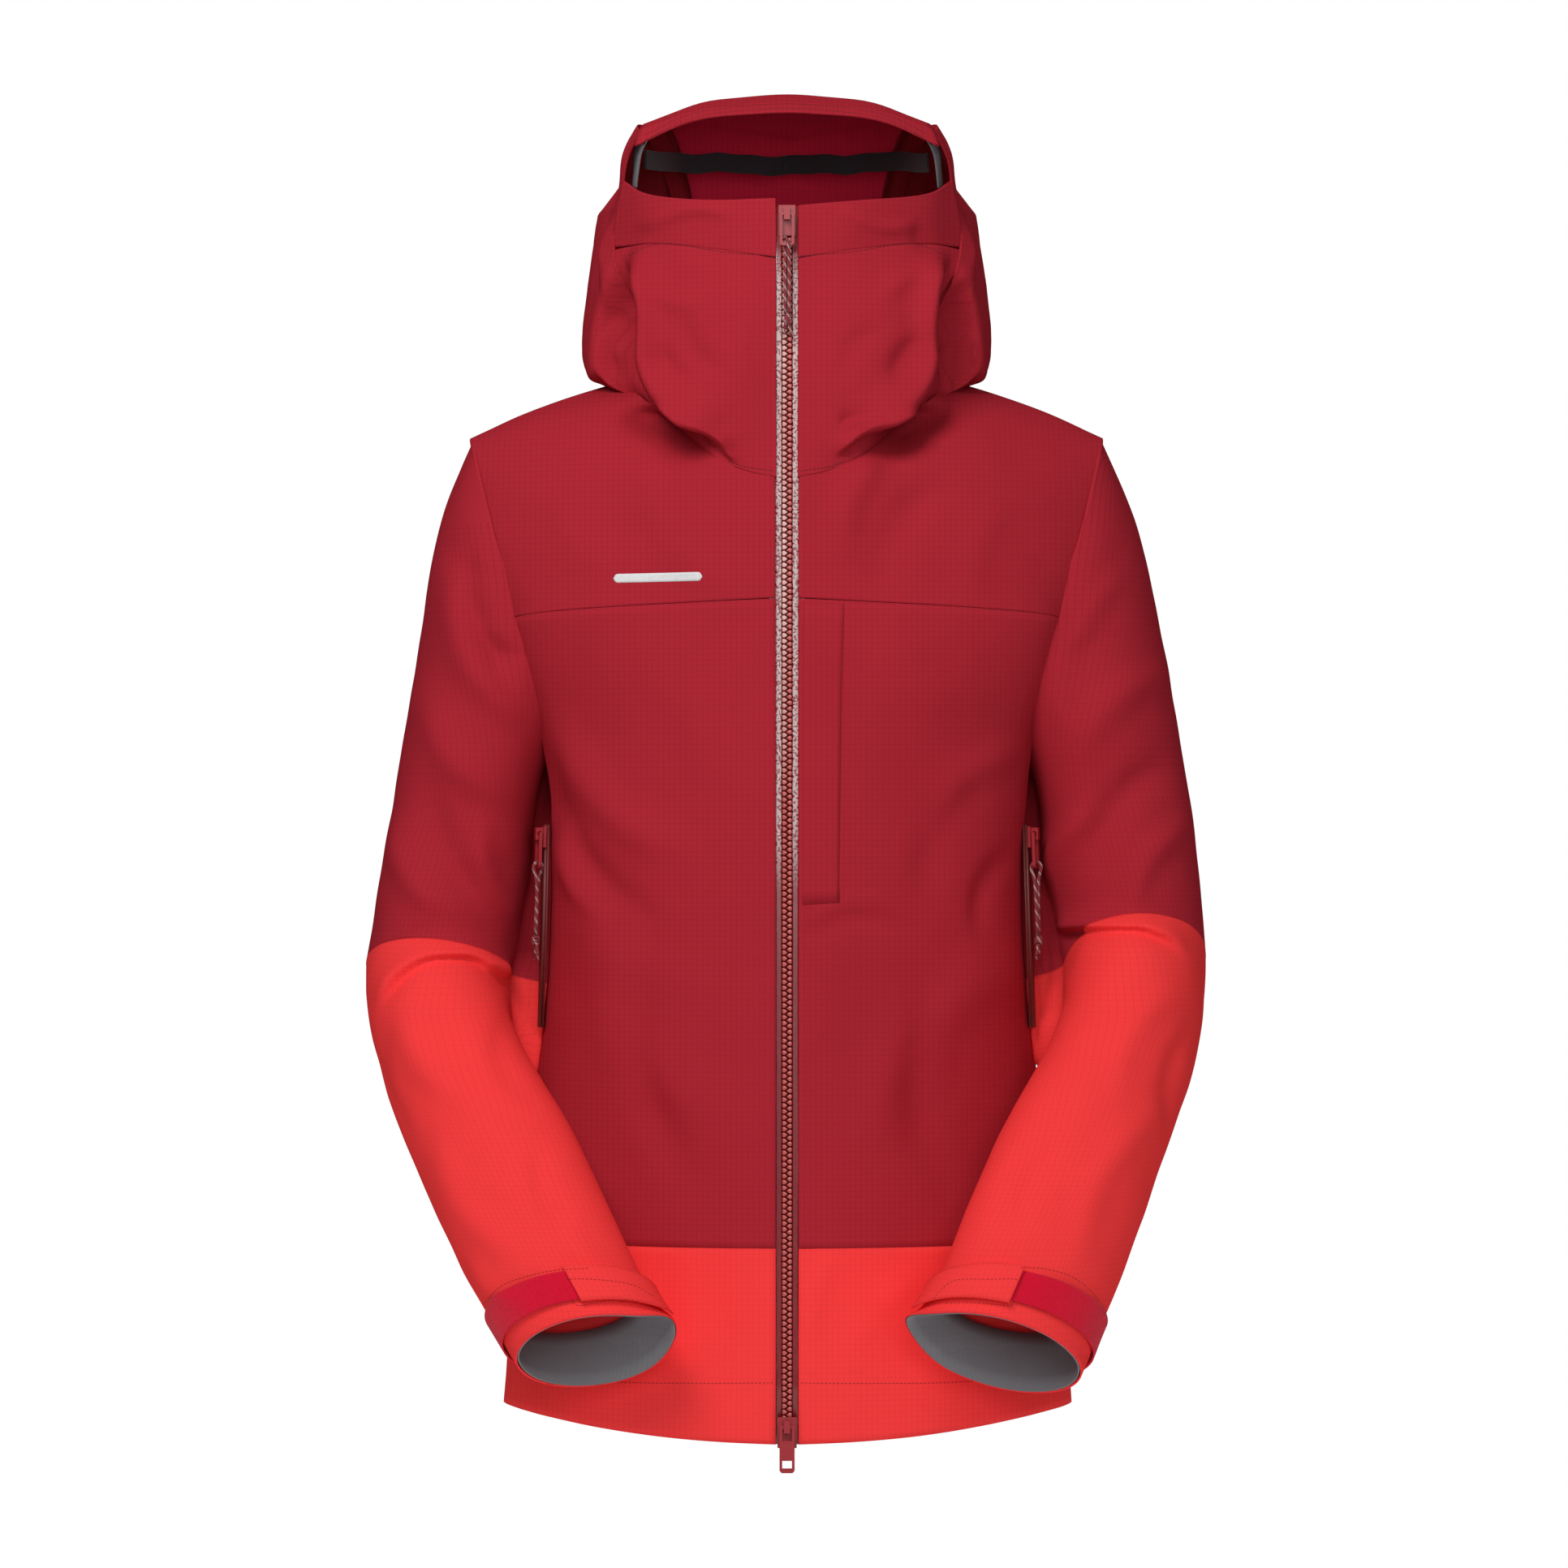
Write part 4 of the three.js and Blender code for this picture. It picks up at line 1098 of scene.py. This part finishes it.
def crown_tapes():
    """Tape over the seams inside the hood, from the brim's corners to the nape."""
    for side, sign in (("left", -1), ("right", 1)):
        seam = hem_curve([(sign * x, y, z) for x, y, z in CROWN_SEAM], 8)
        line = [Vector(p) for p in crowned(seam)]
        rows = []
        for k, point in enumerate(line):
            run = (line[min(k + 1, len(line) - 1)] - line[max(k - 1, 0)]).normalized()
            inner = Vector((-sign, 0, 0))
            down = run.cross(inner)
            if down.dot(Vector((0, BODY_MIDDLE_Y, HOOD_MIDDLE_Z)) - point) < 0:
                down = -down
            row = [point + inner * 8 * MM + down * 1.5 * MM, point + inner * 2 * MM + down * 2.2 * MM,
                   point - inner * 1 * MM + down * 4 * MM, point - inner * 3 * MM + down * 10 * MM]
            for place in row:
                limit = (np.interp((place.z - HEM_Z) * 1000, *np.array(HOOD_WIDTH).T) - 6) * MM
                place.x = sign * min(sign * place.x, limit)
            rows.append(row)
        thick = Vector((-sign * 0.5, 0, -0.4)) * MM
        ribbon(f"crown_tape_{side}", rows, thick, dark_cloth, "jacket")


crown_tapes()


def surface_tree(nodes):
    vertices, faces = [], []
    for node in nodes:
        mesh = SURFACES[node].data
        base = len(vertices)
        vertices += [v.co for v in mesh.vertices]
        faces += [tuple(base + n for n in p.vertices) for p in mesh.polygons]
    return BVHTree.FromPolygons(vertices, faces)


NOT_IN_FRONT = ("lining", "facing", "bag", "tape", "storm", "back")


def on_front(tree, x, z):
    """The front surface's place and outward direction at x, z in mm from the zip and the hem."""
    start = Vector((x * MM, -1.0, HEM_Z + z * MM))
    hit, normal, _, _ = tree.ray_cast(start, Vector((0, 1, 0)))
    if hit is None:
        return None
    return hit, normal if normal.y < 0 else -normal


def resampled(line, pitch):
    """Places a pitch apart along a line of (x, z), in mm."""
    line = np.array(line)
    lengths = np.append(0, np.cumsum(np.hypot(*np.diff(line, axis=0).T)))
    wanted = np.arange(int(lengths[-1] / pitch)) * pitch
    return [Vector(spot) for spot in zip(*(np.interp(wanted, lengths, line[:, k]) for k in (0, 1)))]


def stitches(tree, line, pitch=2.6, share=0.62, radius=0.24):
    """Parts of a row of stitches that lie on the front surface along a line of (x, z)."""
    parts = []
    spots = resampled(line, pitch / 2)
    for k in range(0, len(spots) - 2, 2):
        a, b = spots[k], spots[k].lerp(spots[k + 2], share)
        ends = [on_front(tree, *a), on_front(tree, *a.lerp(b, 0.5)), on_front(tree, *b)]
        if None in ends or (ends[0][0] - ends[2][0]).length > 3 * pitch * MM:
            continue
        lift = (-0.1, 0.16, -0.1)
        route = [hit + normal * high * MM for (hit, normal), high in zip(ends, lift)]
        parts.append(tube(route, radius * MM, 5))
    return parts


def stitched(name, seams, material, body="jacket", **size):
    """Rows of stitches along seams, each a few (x, z) points that a curve is drawn through."""
    parts = [part for seam in seams for part in stitches(FRONT, smooth_line(seam), **size)]
    if parts:
        vertices, faces, uvs = joined_parts(parts)
        mesh_object(name, vertices, faces, material, body, uvs=uvs)


def both_sides(seam):
    """A seam on the right and its image on the left."""
    return [[(sign * x, z) for x, z in seam] for sign in (-1, 1)]


FRONT = surface_tree([node for node in SURFACES if not any(word in node for word in NOT_IN_FRONT)])
BRIM_SEAM = [(-94, 858), (-60, 872), (0, 878), (60, 872), (94, 858)]
stitched("chin_seam_stitches", both_sides([(9, 777), (45, 781), (82, 788), (108, 781)]), thread)
stitched("neck_seam_stitches", both_sides([(9, 636), (28, 639), (42, 645)]), thread)
stitched("hem_stitches", both_sides([(9, 40), (60, 39), (120, 38), (182, 41)]), bright_thread)
stitched("brim_stitches", [[(x, z + up) for x, z in BRIM_SEAM] for up in (-3.5, 0.5)], thread, pitch=2.4)


CUFF_STITCHES = {
    "left": [(-197, 94), (-184, 107.5), (-165, 115), (-146, 119), (-125, 120.5)],
    "right": [(150, 121), (168, 119), (184, 113.5), (197, 103), (203, 94)],
}
TAB_STITCHES = {
    "left": [(-86, 101), (-98, 108.5), (-110, 111.7), (-128, 113.6), (-143, 112.6), (-141, 106),
             (-136.5, 98), (-133, 96.6), (-120, 98.8), (-101, 100.2), (-88, 95)],
    "right": [(92, 98), (101, 108), (110, 112.8), (128, 113.6), (149, 113.2), (148, 106),
              (144.5, 97.6), (140, 96.9), (118, 98.5), (97, 97)],
}
for side in CUFF_STITCHES:
    stitched(f"cuff_stitches_{side}", [CUFF_STITCHES[side]], bright_thread)
    stitched(f"tab_stitches_{side}", [TAB_STITCHES[side]], bright_thread, BODY_OF[f"cuff_tab_{side}"])


def flat_print(name, line, half, material):
    """A thin printed bar that lies on the cloth, with round ends."""
    step = 1.5
    spots = resampled(line, step)
    rows = []
    for k, spot in enumerate(spots):
        from_end = min(k, len(spots) - 1 - k) * step
        reach = half * math.sqrt(1 - max(0, 1 - from_end / half) ** 2)
        row = []
        for n in range(5):
            hit, normal = on_front(FRONT, spot.x, spot.y + max(reach, 0.3) * (n / 2 - 1))
            row.append(hit + normal * 0.06 * MM)
        rows.append(row)
    return ribbon(name, rows, Vector((0, 0.3 * MM, 0)), material, "jacket")


flat_print("chest_bar", [(-114, 566), (-54, 567)], 2.9, white_print)

# ---------- floor, lights ----------
FLOOR_BELOW, FLOOR_RADIUS = 0.4, 1.0


def pale_floor():
    """A plain round floor, below the main view."""
    material, tree, shader = new_material("pale floor", (0.85, 0.85, 0.85), 0.9,
                                          Emission_Color=(1, 1, 1, 1), Emission_Strength=0.4)
    grain = noise_of(tree, add(tree, "ShaderNodeTexCoord").outputs["Object"], 40)
    tint(tree, shader, (0.85, 0.85, 0.85), (0.82, 0.82, 0.82), grain)
    rim = [Vector((math.cos(turn), math.sin(turn), 0)) for turn in np.linspace(0, 2 * math.pi, 97)[:-1]]
    middle = Vector((0, BODY_MIDDLE_Y, HEM_Z - FLOOR_BELOW))
    mesh = bpy.data.meshes.new("floor")
    mesh.from_pydata([middle + point * FLOOR_RADIUS for point in rim], [], [tuple(range(len(rim)))])
    object_of("floor", mesh, [material])


pale_floor()


def soft_light(name, place, aim, size, power):
    lamp = bpy.data.lights.new(name, "AREA")
    lamp.shape = "RECTANGLE"
    lamp.size, lamp.size_y = size
    lamp.energy = power
    light = bpy.data.objects.new(name, lamp)
    light.location = place
    light.rotation_euler = (Vector(aim) - Vector(place)).to_track_quat("-Z", "Y").to_euler()
    bpy.context.collection.objects.link(light)


MIDDLE = Vector((0, -0.08, HEM_Z + 0.45))
soft_light("key", (-0.6, -1.7, 1.1), MIDDLE + Vector((0, 0, 0.25)), (0.8, 0.8), 24.5)
soft_light("fill", (0.4, -2.9, 0.35), MIDDLE + Vector((0, 0, 0.3)), (1.4, 1.4), 22)
soft_light("top", (0, 0.0, 2.0), MIDDLE, (1.6, 1.2), 3)
soft_light("back", (0.3, 2.4, 0.9), MIDDLE, (2.0, 2.0), 28)

AMBIENT = 0.23


def studio_world():
    """White behind the jacket, with a faint even light on it."""
    world = bpy.data.worlds.new("studio")
    world.use_nodes = True
    sky = world.node_tree
    either = add(sky, "ShaderNodeMixShader")
    sky.links.new(add(sky, "ShaderNodeLightPath").outputs["Is Camera Ray"], either.inputs[0])
    for slot, strength in ((1, AMBIENT), (2, 1.0)):
        background = add(sky, "ShaderNodeBackground", Color=(1, 1, 1, 1), Strength=strength)
        sky.links.new(background.outputs[0], either.inputs[slot])
    sky.links.new(either.outputs[0], sky.nodes["World Output"].inputs["Surface"])
    bpy.context.scene.world = world


studio_world()
bpy.context.scene.view_settings.view_transform = "Standard"
